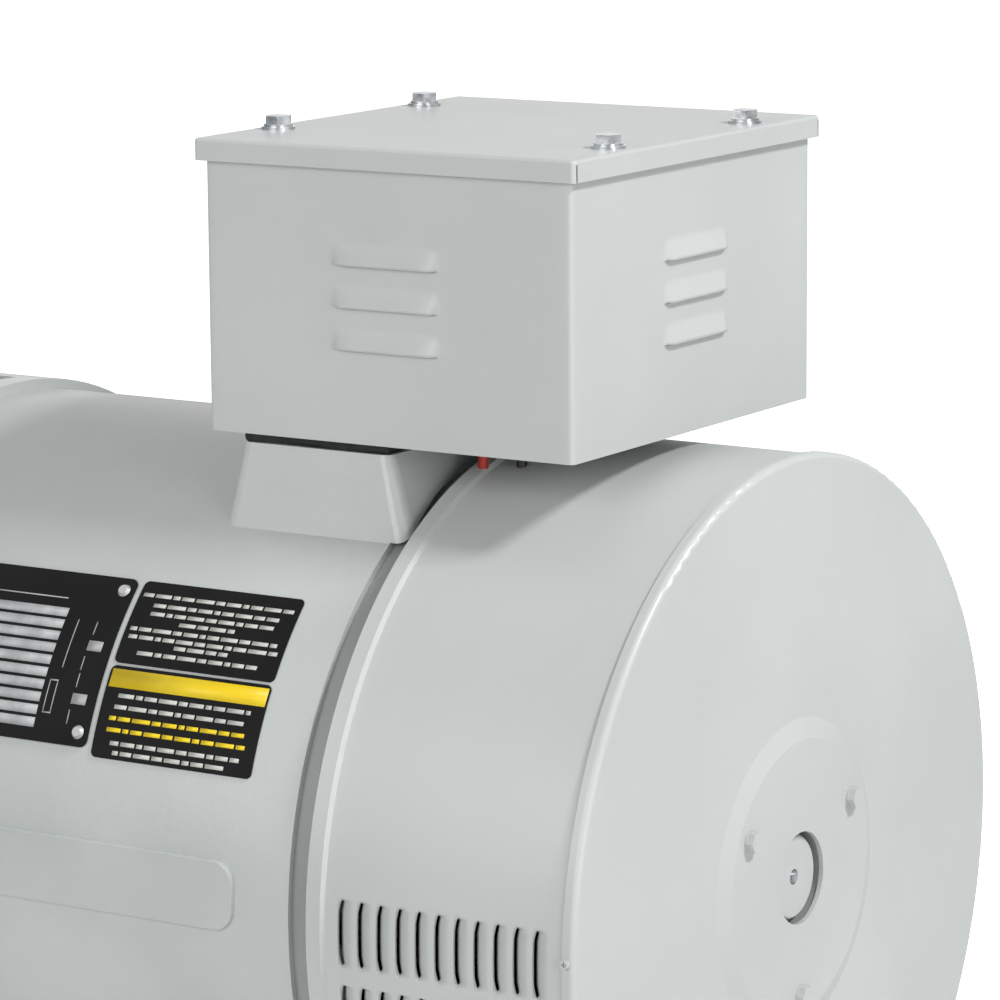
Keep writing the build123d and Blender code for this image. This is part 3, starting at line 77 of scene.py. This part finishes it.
def add_node(material, kind, inputs=None, **settings):
    """Adds one shader node with its settings; an input is a value, or another node's output to link."""
    made = material.node_tree.nodes.new(kind)
    for name, value in settings.items():
        setattr(made, name, value)
    for name, value in (inputs or {}).items():
        if isinstance(value, bpy.types.NodeSocket):
            material.node_tree.links.new(value, made.inputs[name])
        else:
            made.inputs[name].default_value = value
    return made


def finish(name, colour, roughness, metallic=0.0):
    """A new material with its surface shader and the object's own coordinates."""
    material = bpy.data.materials.new(name)
    material.use_nodes = True
    surface = material.node_tree.nodes["Principled BSDF"]
    surface.inputs["Base Color"].default_value = srgb(colour)
    surface.inputs["Roughness"].default_value = roughness
    surface.inputs["Metallic"].default_value = metallic
    place = add_node(material, "ShaderNodeTexCoord").outputs["Object"]
    return material, surface, place


def noise(material, place, size, detail):
    """A soft random pattern with features of about that size."""
    made = add_node(material, "ShaderNodeTexNoise", {"Vector": place, "Scale": 1 / size, "Detail": detail})
    return made.outputs["Fac"]


def bands(material, place, size, distortion, direction):
    """Even bands across a direction; along X one band repeats every 0.314 sizes."""
    made = add_node(material, "ShaderNodeTexWave",
                    {"Vector": place, "Scale": 1 / size, "Distortion": distortion},
                    wave_type="BANDS", bands_direction=direction)
    return made.outputs["Fac"]


def mottle(material, surface, place, light, dark, size):
    """Two close tones of one colour in soft patches of about that size."""
    patches = noise(material, place, size, 4.0)
    spread = add_node(material, "ShaderNodeMapRange", {"Value": patches, "From Min": 0.35, "From Max": 0.65})
    tone = add_node(material, "ShaderNodeMix", {0: spread.outputs["Result"], 6: srgb(dark), 7: srgb(light)},
                    data_type="RGBA")
    material.node_tree.links.new(tone.outputs[2], surface.inputs["Base Color"])


def relief(material, surface, height, depth):
    """Raises the surface by a pattern's height, depth metres at most."""
    bump = add_node(material, "ShaderNodeBump", {"Height": height, "Distance": depth, "Strength": 1.0})
    material.node_tree.links.new(bump.outputs["Normal"], surface.inputs["Normal"])


# sand-cast iron under thick light grey enamel: the casting's grain still shows as a soft waviness
cast_enamel, surface, place = finish("grey_enamel_on_cast_iron", "C2C6C4", 0.34)
surface.inputs["Coat Weight"].default_value = 0.25
surface.inputs["Coat Roughness"].default_value = 0.18
mottle(cast_enamel, surface, place, "C6CAC8", "BCC1BF", 90 * MM)
grain = noise(cast_enamel, place, 2.2 * MM, 3.0)
wave = noise(cast_enamel, place, 14 * MM, 2.0)
both = add_node(cast_enamel, "ShaderNodeMath", {0: grain, 1: wave}, operation="ADD")
relief(cast_enamel, surface, both.outputs["Value"], 0.10 * MM)

# the rear bracket's enamel over the same cast iron, coloured darker than the frame's as painted shade for the
# recessed band between frame and drum
bracket_enamel_painted_shade, surface, place = finish("bracket_enamel_darkened_as_painted_shade", "9A9F9C", 0.5)
mottle(bracket_enamel_painted_shade, surface, place, "9FA4A1", "949896", 60 * MM)
cast_skin = noise(bracket_enamel_painted_shade, place, 2.2 * MM, 3.0)
relief(bracket_enamel_painted_shade, surface, cast_skin, 0.12 * MM)

# folded sheet steel, sprayed: nearly flat, with fine orange peel
sheet_enamel, surface, place = finish("grey_enamel_on_sheet_steel", "C4C8C6", 0.36)
mottle(sheet_enamel, surface, place, "C6CAC8", "C0C4C3", 120 * MM)
peel = noise(sheet_enamel, place, 1.8 * MM, 2.0)
relief(sheet_enamel, surface, peel, 0.035 * MM)

# bright zinc plate over cold-headed steel: mirror-like with a faint blue cast and small scratches
zinc_plate, surface, place = finish("bright_zinc_plate", "C9CCD0", 0.22, 1.0)
mottle(zinc_plate, surface, place, "D6D8DA", "9EA2A8", 5 * MM)
scuffs = noise(zinc_plate, place, 0.7 * MM, 4.0)
relief(zinc_plate, surface, scuffs, 0.02 * MM)

# turned and ground steel: fine rings round the axis, 0.5 mm apart
ground_steel, surface, place = finish("turned_ground_steel", "B4B6B8", 0.26, 1.0)
mottle(ground_steel, surface, place, "BCBEC0", "A4A6A9", 12 * MM)
rings = bands(ground_steel, place, 1.6 * MM, 0.4, "X")
relief(ground_steel, surface, rings, 0.008 * MM)

# polished bearing steel
bearing_steel, surface, place = finish("polished_bearing_steel", "C8CACC", 0.12, 1.0)
mottle(bearing_steel, surface, place, "CFD1D3", "BBBDC0", 4 * MM)

# stacked electrical sheet under clear varnish: drawn 2 mm apart so that it shows, a real sheet is 0.5 mm
laminations, surface, place = finish("stacked_electrical_sheet", "5A5C60", 0.42, 1.0)
sheets = bands(laminations, place, 6.3 * MM, 0.1, "X")
mottle(laminations, surface, place, "66686C", "4A4C50", 20 * MM)
relief(laminations, surface, sheets, 0.05 * MM)

# enamelled copper wire under amber varnish: the turns show as slanting bands just under 3 mm apart
varnished_copper, surface, place = finish("varnished_copper_wire", "8A4A22", 0.3, 0.6)
turns = bands(varnished_copper, place, 7.5 * MM, 1.0, "DIAGONAL")
mottle(varnished_copper, surface, place, "98552A", "6E3716", 9 * MM)
relief(varnished_copper, surface, turns, 0.25 * MM)

# bare die-cast aluminium: even, slightly satin
cast_aluminium, surface, place = finish("bare_cast_aluminium", "B3B5B6", 0.42, 1.0)
mottle(cast_aluminium, surface, place, "BCBEBF", "A2A4A6", 10 * MM)
skin = noise(cast_aluminium, place, 1.2 * MM, 3.0)
relief(cast_aluminium, surface, skin, 0.05 * MM)

# compression-moulded thermoset: dark brown, matt, with flecks of filler
thermoset, surface, place = finish("moulded_thermoset", "4A3226", 0.5)
mottle(thermoset, surface, place, "553A2C", "3A261C", 1.5 * MM)

# turned brass
turned_brass, surface, place = finish("turned_brass", "C9A35A", 0.25, 1.0)
mottle(turned_brass, surface, place, "D1AC64", "B58F4A", 6 * MM)

# pressed carbon: dull black with a graphite sheen
pressed_carbon, surface, place = finish("pressed_carbon", "2A2A2B", 0.55)
mottle(pressed_carbon, surface, place, "323234", "1E1E1F", 1.0 * MM)

# spring wire: blue-grey drawn steel
spring_wire, surface, place = finish("drawn_spring_steel", "8C9096", 0.3, 1.0)
mottle(spring_wire, surface, place, "989CA2", "767A80", 3 * MM)

# black rubber sheet: matt, with bloom and a fine grain
black_rubber, surface, place = finish("cut_black_rubber", "1F2021", 0.72)
mottle(black_rubber, surface, place, "2B2C2D", "161717", 6 * MM)
crumb = noise(black_rubber, place, 0.9 * MM, 4.0)
relief(black_rubber, surface, crumb, 0.12 * MM)

# moulded black polyamide: satin with spark-eroded grain
polyamide, surface, place = finish("moulded_black_polyamide", "26272A", 0.45)
mottle(polyamide, surface, place, "2C2D30", "1F2022", 8 * MM)
spark = add_node(polyamide, "ShaderNodeTexVoronoi", {"Vector": place, "Scale": 1 / (0.8 * MM)})
relief(polyamide, surface, spark.outputs["Distance"], 0.03 * MM)

# casting resin poured into a black case: glossy, slightly wavy
casting_resin, surface, place = finish("poured_casting_resin", "17181A", 0.18)
mottle(casting_resin, surface, place, "1D1E20", "121314", 14 * MM)
pour = noise(casting_resin, place, 9 * MM, 1.0)
relief(casting_resin, surface, pour, 0.2 * MM)

# aluminium sheet, black anodised: dark satin ground
anodised_black, surface, place = finish("black_anodised_aluminium", "0E0E10", 0.5)
mottle(anodised_black, surface, place, "121214", "0B0B0C", 30 * MM)
brushing = add_node(anodised_black, "ShaderNodeMapping", {"Vector": place, "Scale": (30.0, 900.0, 900.0)})
lines = add_node(anodised_black, "ShaderNodeTexNoise", {"Vector": brushing.outputs["Vector"], "Scale": 1.0})
relief(anodised_black, surface, lines.outputs["Fac"], 0.01 * MM)

# the plate's bare fields, where the black has been etched away
etched_silver, surface, place = finish("etched_aluminium_fields", "A3A5A6", 0.55, 0.2)
mottle(etched_silver, surface, place, "ADAFB0", "96989A", 8 * MM)

# the plate's rivets: satin aluminium
rivet_aluminium, surface, place = finish("bare_anodised_fields", "B9BBBC", 0.4, 0.35)
mottle(rivet_aluminium, surface, place, "C0C2C3", "ADAFB1", 25 * MM)

# vinyl film, printed: black ground, grey-white and yellow inks
film_dark, surface, place = finish("black_printed_vinyl", "0E0E0F", 0.5)
mottle(film_dark, surface, place, "121213", "0B0B0C", 20 * MM)
film_pale, surface, place = finish("pale_printed_vinyl", "C9C9C4", 0.45)
mottle(film_pale, surface, place, "CDCDC8", "BEBEB9", 20 * MM)
film_yellow, surface, place = finish("yellow_printed_vinyl", "F0D010", 0.42)
mottle(film_yellow, surface, place, "F4D51A", "E6C60C", 20 * MM)

# the dark grounds reflect little, so that the marks on them stay clear
for dark_ground in (anodised_black, film_dark):
    dark_ground.node_tree.nodes["Principled BSDF"].inputs["Specular IOR Level"].default_value = 0.12

# silicone sleeving on the leads
red_sleeve, surface, place = finish("red_silicone_sleeve", "B22A1C", 0.4)
mottle(red_sleeve, surface, place, "BC3222", "9C2216", 8 * MM)
black_sleeve, surface, place = finish("black_silicone_sleeve", "1C1C1E", 0.42)
mottle(black_sleeve, surface, place, "242426", "151516", 8 * MM)

coats = {
    cast_enamel: "stator_frame drive_end_bell drive_bearing_cap",
    bracket_enamel_painted_shade: "rear_bracket",
    sheet_enamel: "rear_drum rear_end_cover terminal_box box_lid rim_screws cover_bolts",
    laminations: "stator_core rotor_core",
    varnished_copper: "stator_winding field_coils",
    ground_steel: "rotor_shaft",
    bearing_steel: "drive_bearing_outer_race drive_bearing_inner_race drive_bearing_balls "
                   "rear_bearing_outer_race rear_bearing_inner_race rear_bearing_balls",
    cast_aluminium: "cooling_fan regulator_base",
    thermoset: "slip_ring_hub brush_holder terminal_board",
    turned_brass: "slip_rings link_bars terminal_studs terminal_nuts",
    pressed_carbon: "brush_1 brush_2",
    spring_wire: "brush_spring_1 brush_spring_2",
    zinc_plate: "bell_bolts cap_bolts bracket_screws holder_screws lid_bolts lid_washers box_floor_screws "
                "board_posts earth_screw",
    black_rubber: "shaft_seal lid_gasket pedestal_gasket lead_grommets",
    casting_resin: "regulator_case",
    polyamide: "gland_bodies gland_caps gland_nuts",
    anodised_black: "rating_plate",
    rivet_aluminium: "plate_rivets",
    film_dark: "upper_label lower_label",
    red_sleeve: "field_lead_red",
    black_sleeve: "field_lead_black",
}
for coat, names in coats.items():
    for name in names.split():
        shown = nodes[name]
        if not shown.material_slots:
            shown.data.materials.append(coat)
        for slot in shown.material_slots:
            slot.material = coat


# ---------------------------------------------------------------- shaping helpers
def finished_piece(name, shape, body, coat, sharp=30, wall=0.0):
    """Makes a piece of the object from a finished bmesh and lets it ride on its body."""
    mesh = bpy.data.meshes.new(name)
    shape.normal_update()
    shape.to_mesh(mesh)
    shape.free()
    mesh.materials.append(coat)
    mesh.polygons.foreach_set("use_smooth", [True] * len(mesh.polygons))
    mesh.set_sharp_from_angle(angle=radians(sharp))
    thing = bpy.data.objects.new(name, mesh)
    scene.collection.objects.link(thing)
    if wall:
        skin = thing.modifiers.new("wall", "SOLIDIFY")
        skin.thickness = wall
        skin.offset = -1.0
    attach(thing, body)
    return thing


def round_shaft(x, angle, radius):
    """The point at an angle above the shaft's level on the near side, at a radius from the shaft line."""
    return Vector((x, -radius * cos(angle), SHAFT + radius * sin(angle)))


def steps(low, high, count):
    """Evenly spaced values from low to high, both included."""
    return [low + (high - low) * i / count for i in range(count + 1)]


def fade(value, low, high):
    """0 below low, 1 above high, and a smooth rise between them."""
    t = min(1.0, max(0.0, (value - low) / (high - low)))
    return t * t * (3 - 2 * t)


# ---------------------------------------------------------------- drum with its lanced vents
DRUM_START = 0.1415
DRUM_END = 0.2595
DRUM_SHEET = 0.0012
EDGE_ROLL = 0.0007  # how far the sheet's two cut edges are drawn in
BAND_RADIUS = 0.1764  # the raised band round the edge next to the bracket
BAND_END = DRUM_START + 0.0080
VENT_FIRST = 0.1561
VENT_PITCH = 0.0090
VENT_WIDTH = 0.0062
VENT_DEPTH = 0.0030
VENT_BOW = 0.0011  # how far a vent's open edge bows along the shaft at both ends
VENTS_ACROSS = 11
ROW_ANGLES = [radians(0.8 - 11.6 * row) for row in range(4)]
HALF_VENT = radians(4.8)
VENT_LINES = (0.3, 0.6, 0.78, 0.86, 0.9, 0.94, 0.97, 1.0, 1.06)  # grid lines over half a vent, as shares of it
LINES_BELOW, LINES_ABOVE = 16, 26  # grid lines between the rows of vents and the drum's bottom and top
RAMP_LINES = 5
STEP = 0.0001  # between the cut lip and the vent's deep edge


def drum_skin():
    """The rear drum: a rolled sheet with a rim band and four rows of inward vents on each side."""
    # every column along the shaft is (place, share of a vent's depth, whether it is the cut lip)
    columns = [(DRUM_START, 0, False), (DRUM_START + 0.0008, 0, False), (BAND_END - 0.0006, 0, False),
               (BAND_END + 0.0006, 0, False), (VENT_FIRST - 0.003, 0, False)]
    for k in range(VENTS_ACROSS):
        mouth = VENT_FIRST + VENT_PITCH * k
        columns += [(mouth - 0.0005, 0, False), (mouth, 0, False), (mouth, 1, True)]
        columns += [(mouth + STEP + VENT_WIDTH * t, 1 - t, False) for t in steps(0, 1, RAMP_LINES)]
        columns += [(mouth + VENT_WIDTH + 0.001, 0, False)]
    columns += [(DRUM_END - 0.0012, 0, False), (DRUM_END - 0.0003, 0, False), (DRUM_END, 0, False)]
    # every row round the shaft is an angle: the near side first, then its mirror image on the far side
    near = []
    for middle in ROW_ANGLES:
        near += [middle + HALF_VENT * side * t for side in (-1, 1) for t in VENT_LINES] + [middle]
    near += steps(radians(-90), min(near), LINES_BELOW)[:-1]
    near += steps(max(near), radians(90), LINES_ABOVE)[1:]
    near.sort()
    angles = near + [pi - a for a in reversed(near)][1:-1]
    width = len(columns)
    shape = bmesh.new()
    skin = bmesh.ops.create_grid(shape, x_segments=width - 1, y_segments=len(angles), size=1.0)["verts"]
    skin = sorted(skin, key=lambda v: (round(v.co.y, 5), v.co.x))
    open_verts = set()
    for i, vert in enumerate(skin):
        x, share, lip = columns[i % width]
        angle = angles[(i // width) % len(angles)]
        level = angle if angle <= pi / 2 + 1e-6 else pi - angle
        across = min(abs(level - middle) for middle in ROW_ANGLES) / HALF_VENT
        fullness = 1 - fade(across, 0.84, 1.0)
        depth = VENT_DEPTH * share * fullness
        if lip:
            depth = min(depth, DRUM_SHEET)
        if share > 0:
            x += VENT_BOW * share * fade(across, 0.6, 1.0) * (fullness > 0)
        radius = BAND_RADIUS if x < BAND_END else DRUM_RADIUS
        if x in (DRUM_START, DRUM_END):
            radius -= EDGE_ROLL
        vert.co = round_shaft(x, angle, radius - depth)
        if share == 1 and VENT_DEPTH * fullness > DRUM_SHEET + 0.0002:
            open_verts.add(vert)
    # the slit under each open edge
    slits = [f for f in shape.faces if all(v in open_verts for v in f.verts)]
    bmesh.ops.delete(shape, geom=slits, context="FACES_ONLY")
    bmesh.ops.remove_doubles(shape, verts=shape.verts, dist=2e-6)
    bmesh.ops.dissolve_degenerate(shape, edges=shape.edges, dist=1e-6)
    bmesh.ops.recalc_face_normals(shape, faces=shape.faces)
    return shape


drum = finished_piece("vented_rear_drum", drum_skin(), "frame", sheet_enamel, sharp=28, wall=DRUM_SHEET)
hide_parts("rear_drum")


# ---------------------------------------------------------------- pedestal gasket
GASKET_HOLE_X = 0.0220  # half the opening along the shaft
GASKET_HOLE_Y = 0.0550
GASKET_INSET = 0.0013  # how far the outer edge lies inside the rubber's box where nothing bulges
GASKET_BULGE = 0.0016
GASKET_WANDER = 0.0007  # how far the cut edge strays from a straight line
GASKET_POINTS = 96


def gasket_ring(shape, middle, half_x, half_y, z, swell):
    """One rectangular ring of points round the middle; swell is each point's extra reach."""
    ring = []
    for k in range(GASKET_POINTS):
        turn = 2 * pi * k / GASKET_POINTS
        side = max(abs(cos(turn)), abs(sin(turn)))
        ring.append(shape.verts.new((middle + cos(turn) / side * (half_x + swell(turn)),
                                     sin(turn) / side * (half_y + swell(turn)), z)))
    return ring


def squeezed_gasket():
    """A ring of soft rubber between pedestal and box that bulges unevenly along its outer edge."""
    (x0, y0, z0), (x1, y1, z1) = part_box("pedestal_gasket")
    middle, half_x, half_y = (x0 + x1) / 2, (x1 - x0) / 2, (y1 - y0) / 2
    shape = bmesh.new()
    loops = []
    for level, z in enumerate((z0, z0 + 0.15 * (z1 - z0), (z0 + z1) / 2, z1 - 0.15 * (z1 - z0), z1)):
        bulge = GASKET_BULGE * sin(pi * level / 4)
        loops.append(gasket_ring(shape, middle, half_x, half_y, z, lambda turn: (
            bulge * (1 + sin(7 * turn + 0.8)) / 2 + GASKET_WANDER * sin(5 * turn + 1.3) - GASKET_INSET)))
    for z in (z1, z0):
        loops.append(gasket_ring(shape, middle, GASKET_HOLE_X, GASKET_HOLE_Y, z, lambda turn: 0.0))
    loops.append(loops[0])
    for low, high in zip(loops, loops[1:]):
        for k in range(GASKET_POINTS):
            after = (k + 1) % GASKET_POINTS
            shape.faces.new((low[k], low[after], high[after], high[k]))
    bmesh.ops.recalc_face_normals(shape, faces=shape.faces)
    return shape


gasket = finished_piece("squeezed_pedestal_gasket", squeezed_gasket(), "frame", black_rubber, sharp=40)
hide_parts("pedestal_gasket")


# ---------------------------------------------------------------- terminal box with pressed louvres
BOX_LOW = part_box("terminal_box")[0][2]
BOX_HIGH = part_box("terminal_box")[1][2]
BOX_X = 0.131
BOX_HALF_X = 0.0875
BOX_HALF_Y = 0.0970
BOX_SHEET = 0.0015
BOX_CORNER = 0.0022
HOOD_HALF = 0.02635
HOOD_RISE = 0.0028
HOOD_HEIGHT = 0.0086
HOOD_SLITS = [BOX_LOW + 0.0383 + 0.0172 * k for k in range(3)]
HOOD_LINES = (0.3, 0.6, 0.8, 0.88, 0.93, 0.97, 1.0, 1.06)  # grid lines over half a hood, as shares of it
HOOD_OPEN = 0.0009  # a hood that stands out further than this is open underneath


def louvred_wall(shape, corner, along, out, length, louvred):
    """One wall of the box: a grid from a corner along the wall and up, with three pressed hoods."""
    half = length / 2
    columns = [half + side * HOOD_HALF * t for side in (-1, 1) for t in HOOD_LINES]
    columns = sorted(columns + [0, 0.006, half, length - 0.006, length])
    # every row is (height, share of a hood's rise)
    rows = [(BOX_LOW, 0), (BOX_LOW + 0.004, 0)]
    for slit in HOOD_SLITS:
        rows += [(slit - 0.001, 0), (slit, 0), (slit + STEP, 1)]
        rows += [(slit + STEP + HOOD_HEIGHT * t, (1 - t) ** 1.15 if t < 1 else 0) for t in steps(0, 1, 7)[1:]]
        rows += [(slit + HOOD_HEIGHT + 0.001, 0)]
    rows += [(BOX_HIGH - 0.004, 0), (BOX_HIGH, 0)]
    width = len(columns)
    wall = bmesh.ops.create_grid(shape, x_segments=width - 1, y_segments=len(rows) - 1, size=1.0)["verts"]
    wall = sorted(wall, key=lambda v: (round(v.co.y, 5), v.co.x))
    hooded = set()
    for i, vert in enumerate(wall):
        u = columns[i % width]
        z, share = rows[i // width]
        across = abs(u - half) / HOOD_HALF
        rise = HOOD_RISE * share * (1 - fade(across, 0.82, 1.0)) if louvred else 0.0
        vert.co = Vector(corner) + Vector(along) * u + Vector(out) * rise
        vert.co.z = z
        if louvred and z in HOOD_SLITS or rise > HOOD_OPEN and share == 1:
            hooded.add(vert)
    # the slit under each hood
    slits = [f for f in {f for v in wall for f in v.link_faces} if all(v in hooded for v in f.verts)]
    bmesh.ops.delete(shape, geom=slits, context="FACES_ONLY")


def louvred_box():
    """The box: four walls and a floor, with rounded upright corners."""
    shape = bmesh.new()
    x0, x1 = BOX_X - BOX_HALF_X, BOX_X + BOX_HALF_X
    y0, y1 = -BOX_HALF_Y, BOX_HALF_Y
    louvred_wall(shape, (x0, y0, 0), (1, 0, 0), (0, -1, 0), 2 * BOX_HALF_X, True)
    louvred_wall(shape, (x1, y0, 0), (0, 1, 0), (1, 0, 0), 2 * BOX_HALF_Y, True)
    louvred_wall(shape, (x1, y1, 0), (-1, 0, 0), (0, 1, 0), 2 * BOX_HALF_X, True)
    louvred_wall(shape, (x0, y1, 0), (0, -1, 0), (-1, 0, 0), 2 * BOX_HALF_Y, False)
    bmesh.ops.remove_doubles(shape, verts=shape.verts, dist=2e-6)
    upright = [e for e in shape.edges
               if all(abs(abs(v.co.x - BOX_X) - BOX_HALF_X) < 1e-5 and abs(abs(v.co.y) - BOX_HALF_Y) < 1e-5
                      for v in e.verts)]
    bmesh.ops.bevel(shape, geom=upright, affect="EDGES", offset=BOX_CORNER, segments=4, profile=0.5,
                    material=-1)
    rim = [e for e in shape.edges if e.is_boundary and all(abs(v.co.z - BOX_LOW) < 1e-6 for v in e.verts)]
    bmesh.ops.contextual_create(shape, geom=rim)
    bmesh.ops.recalc_face_normals(shape, faces=shape.faces)
    return shape


box = finished_piece("louvred_terminal_box", louvred_box(), "frame", sheet_enamel, sharp=35, wall=BOX_SHEET)
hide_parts("terminal_box")


# ---------------------------------------------------------------- what is printed on the plates
PLATE_FACE = FRAME_RADIUS + 0.00104
LABEL_FACE = FRAME_RADIUS + 0.00054
INK = 0.02 * MM
# a mark is (x0, x1, top, bottom) and a line of words (x0, x1, middle): x in millimetres, angles in degrees
PLATE_FIELDS = [(-88.5, -3.2, 39.3 - 1.79 * row, 37.95 - 1.79 * row) for row in range(10)]
for middle in (34.2, 26.5):
    PLATE_FIELDS += [(12.6, 20.0, middle + 0.75, middle - 0.75), (13.0, 13.5, middle + 3.6, middle + 1.6),
                     (12.7, 13.2, middle - 1.6, middle - 3.6)]
PLATE_FIELDS += [(3.4, 3.9, 37.8, 30.6), (-0.6, -0.1, 28.6, 24.2), (3.2, 3.7, 28.6, 24.2),
                 (-0.6, 3.7, 28.8, 28.6), (-0.6, 3.7, 24.2, 24.0), (-60.0, -6.0, 40.9, 40.7)]
UPPER_LINES = ((29.5, 105.5, 42.9), (36.6, 99.0, 41.4), (36.8, 98.0, 40.1), (52.7, 82.0, 38.9),
               (29.8, 105.5, 37.6), (30.4, 105.0, 36.4), (54.4, 81.0, 35.4), (37.4, 97.0, 34.1))
LOWER_LINES = ((34.8, 100.5, 27.8), (34.2, 99.5, 26.2), (36.0, 100.0, 21.2), (38.0, 96.0, 19.9))
YELLOW_BAND = (28.6, 106.2, 31.5, 28.9)
YELLOW_LINES = ((33.0, 100.0, 24.6), (33.0, 101.5, 23.0))
HALF_LINE = 0.29  # half a dash's height, degrees
WORD_LENGTHS = (5.2, 7.8, 3.4, 6.1, 9.0, 4.3, 7.0, 2.9, 5.7, 8.2)
SHORTEST_WORD = 2.0
WORD_GAP = 1.0


def bent_mark(shape, x0, x1, top, bottom, radius):
    """Adds one printed mark, bent to the frame's curve."""
    mark = bmesh.ops.create_grid(shape, x_segments=1, y_segments=max(2, int(top - bottom)), size=1.0)["verts"]
    for vert in mark:
        x = (x0 + (x1 - x0) * (vert.co.x + 1) / 2) * MM
        angle = radians(bottom + (top - bottom) * (vert.co.y + 1) / 2)
        vert.co = round_shaft(x, angle, radius)


def dashed_lines(shape, lines, stride, first):
    """Rows of plain dashes where the real label has lines of words; stride and first pick the lengths."""
    for row, (x, end, middle) in enumerate(lines):
        k = stride * row + first
        while x < end - SHORTEST_WORD:
            length = min(WORD_LENGTHS[k % len(WORD_LENGTHS)], end - x)
            bent_mark(shape, x, x + length, middle + HALF_LINE, middle - HALF_LINE, LABEL_FACE)
            x += length + WORD_GAP
            k += 1


silver = bmesh.new()
for field in PLATE_FIELDS:
    bent_mark(silver, *field, PLATE_FACE)
finished_piece("plate_bare_fields", silver, "frame", etched_silver, wall=INK)

pale = bmesh.new()
dashed_lines(pale, UPPER_LINES, 3, 0)
dashed_lines(pale, LOWER_LINES, 2, 1)
finished_piece("label_pale_marks", pale, "frame", film_pale, wall=INK)

yellow = bmesh.new()
bent_mark(yellow, *YELLOW_BAND, LABEL_FACE)
dashed_lines(yellow, YELLOW_LINES, 4, 2)
finished_piece("label_yellow_marks", yellow, "frame", film_yellow, wall=INK)


# ---------------------------------------------------------------- painted shaft end
def turned_about_shaft(outline):
    """Spins an outline of (x, radius) points round the shaft line."""
    shape = bmesh.new()
    points = [shape.verts.new((x, 0.0, SHAFT + radius)) for x, radius in outline]
    line = [shape.edges.new(pair) for pair in zip(points, points[1:])]
    bmesh.ops.spin(shape, geom=points + line, cent=(0, 0, SHAFT), axis=(1, 0, 0), angle=2 * pi, steps=96,
                   use_merge=True)
    bmesh.ops.remove_doubles(shape, verts=shape.verts, dist=1e-6)
    bmesh.ops.recalc_face_normals(shape, faces=shape.faces)
    return shape


SHAFT_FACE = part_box("rotor_shaft")[1][0]
PAINT_START = SHAFT_FACE - 0.004
PAINT_FACE = SHAFT_FACE + 0.00015
CHAMFER = SHAFT_FACE - 0.0008  # where the chamfers of the end's edge and of the centre hole begin
paint_film = turned_about_shaft([(PAINT_START, 0.01765), (CHAMFER, 0.01765), (PAINT_FACE, 0.0168),
                                 (PAINT_FACE, 0.0034), (CHAMFER, 0.0029)])
finished_piece("painted_shaft_end", paint_film, "rotor", sheet_enamel, wall=0.04 * MM)


# ---------------------------------------------------------------- floor, backdrop and light
FLOOR_HALF = 12.0
FLOOR_GLOW = 0.95  # the floor's own light, for the camera only
FILL_LIGHT = 0.22  # what the white surroundings give; camera and reflections see them at full strength


def stage_mesh(name, shape, coat):
    """Makes a stage object from a finished bmesh."""
    mesh = bpy.data.meshes.new(name)
    shape.to_mesh(mesh)
    shape.free()
    mesh.materials.append(coat)
    thing = bpy.data.objects.new(name, mesh)
    scene.collection.objects.link(thing)
    return thing


floor_paper = bpy.data.materials.new("white_paper_floor")
floor_paper.use_nodes = True
paper = floor_paper.node_tree.nodes["Principled BSDF"]
paper.inputs["Base Color"].default_value = srgb("E6E6E6")
paper.inputs["Roughness"].default_value = 0.9
paper.inputs["Specular IOR Level"].default_value = 0.1
ray = add_node(floor_paper, "ShaderNodeLightPath")
lift = add_node(floor_paper, "ShaderNodeMath", {0: ray.outputs["Is Camera Ray"], 1: FLOOR_GLOW},
                operation="MULTIPLY")
glow = add_node(floor_paper, "ShaderNodeEmission",
                {"Color": srgb("FFFFFF"), "Strength": lift.outputs["Value"]})
lit = add_node(floor_paper, "ShaderNodeAddShader", {0: paper.outputs["BSDF"], 1: glow.outputs["Emission"]})
output = floor_paper.node_tree.nodes["Material Output"]
floor_paper.node_tree.links.new(lit.outputs["Shader"], output.inputs["Surface"])
floor = bmesh.new()
bmesh.ops.create_grid(floor, x_segments=1, y_segments=1, size=FLOOR_HALF)
stage_mesh("floor", floor, floor_paper)

world = bpy.data.worlds.new("studio")
scene.world = world
world.use_nodes = True
sky = world.node_tree.nodes["Background"]
sky.inputs["Color"].default_value = srgb("FFFFFF")
seen = add_node(world, "ShaderNodeLightPath")
direct = add_node(world, "ShaderNodeMath", {0: seen.outputs["Is Camera Ray"], 1: seen.outputs["Is Glossy Ray"]},
                  operation="MAXIMUM")
level = add_node(world, "ShaderNodeMapRange",
                 {"Value": direct.outputs["Value"], "To Min": FILL_LIGHT, "To Max": 1.0})
world.node_tree.links.new(level.outputs["Result"], sky.inputs["Strength"])


def softbox(name, place, target, width, height, power):
    """An area light at a place, facing a target."""
    light = bpy.data.lights.new(name, "AREA")
    light.shape = "RECTANGLE"
    light.size = width
    light.size_y = height
    light.energy = power
    lamp = bpy.data.objects.new(name, light)
    scene.collection.objects.link(lamp)
    facing = (Vector(target) - Vector(place)).to_track_quat("-Z", "Y")
    lamp.matrix_world = Matrix.Translation(place) @ facing.to_matrix().to_4x4()


softbox("key", (2.6, 0.1, 2.8), (0.1, 0, 0.3), 0.5, 0.5, 80.0)
softbox("front", (-0.4, -3.2, 1.5), (0, 0, 0.2), 2.4, 1.8, 44.0)
softbox("end", (3.3, -1.6, 0.9), (0.1, 0, 0.25), 1.6, 1.6, 30.0)
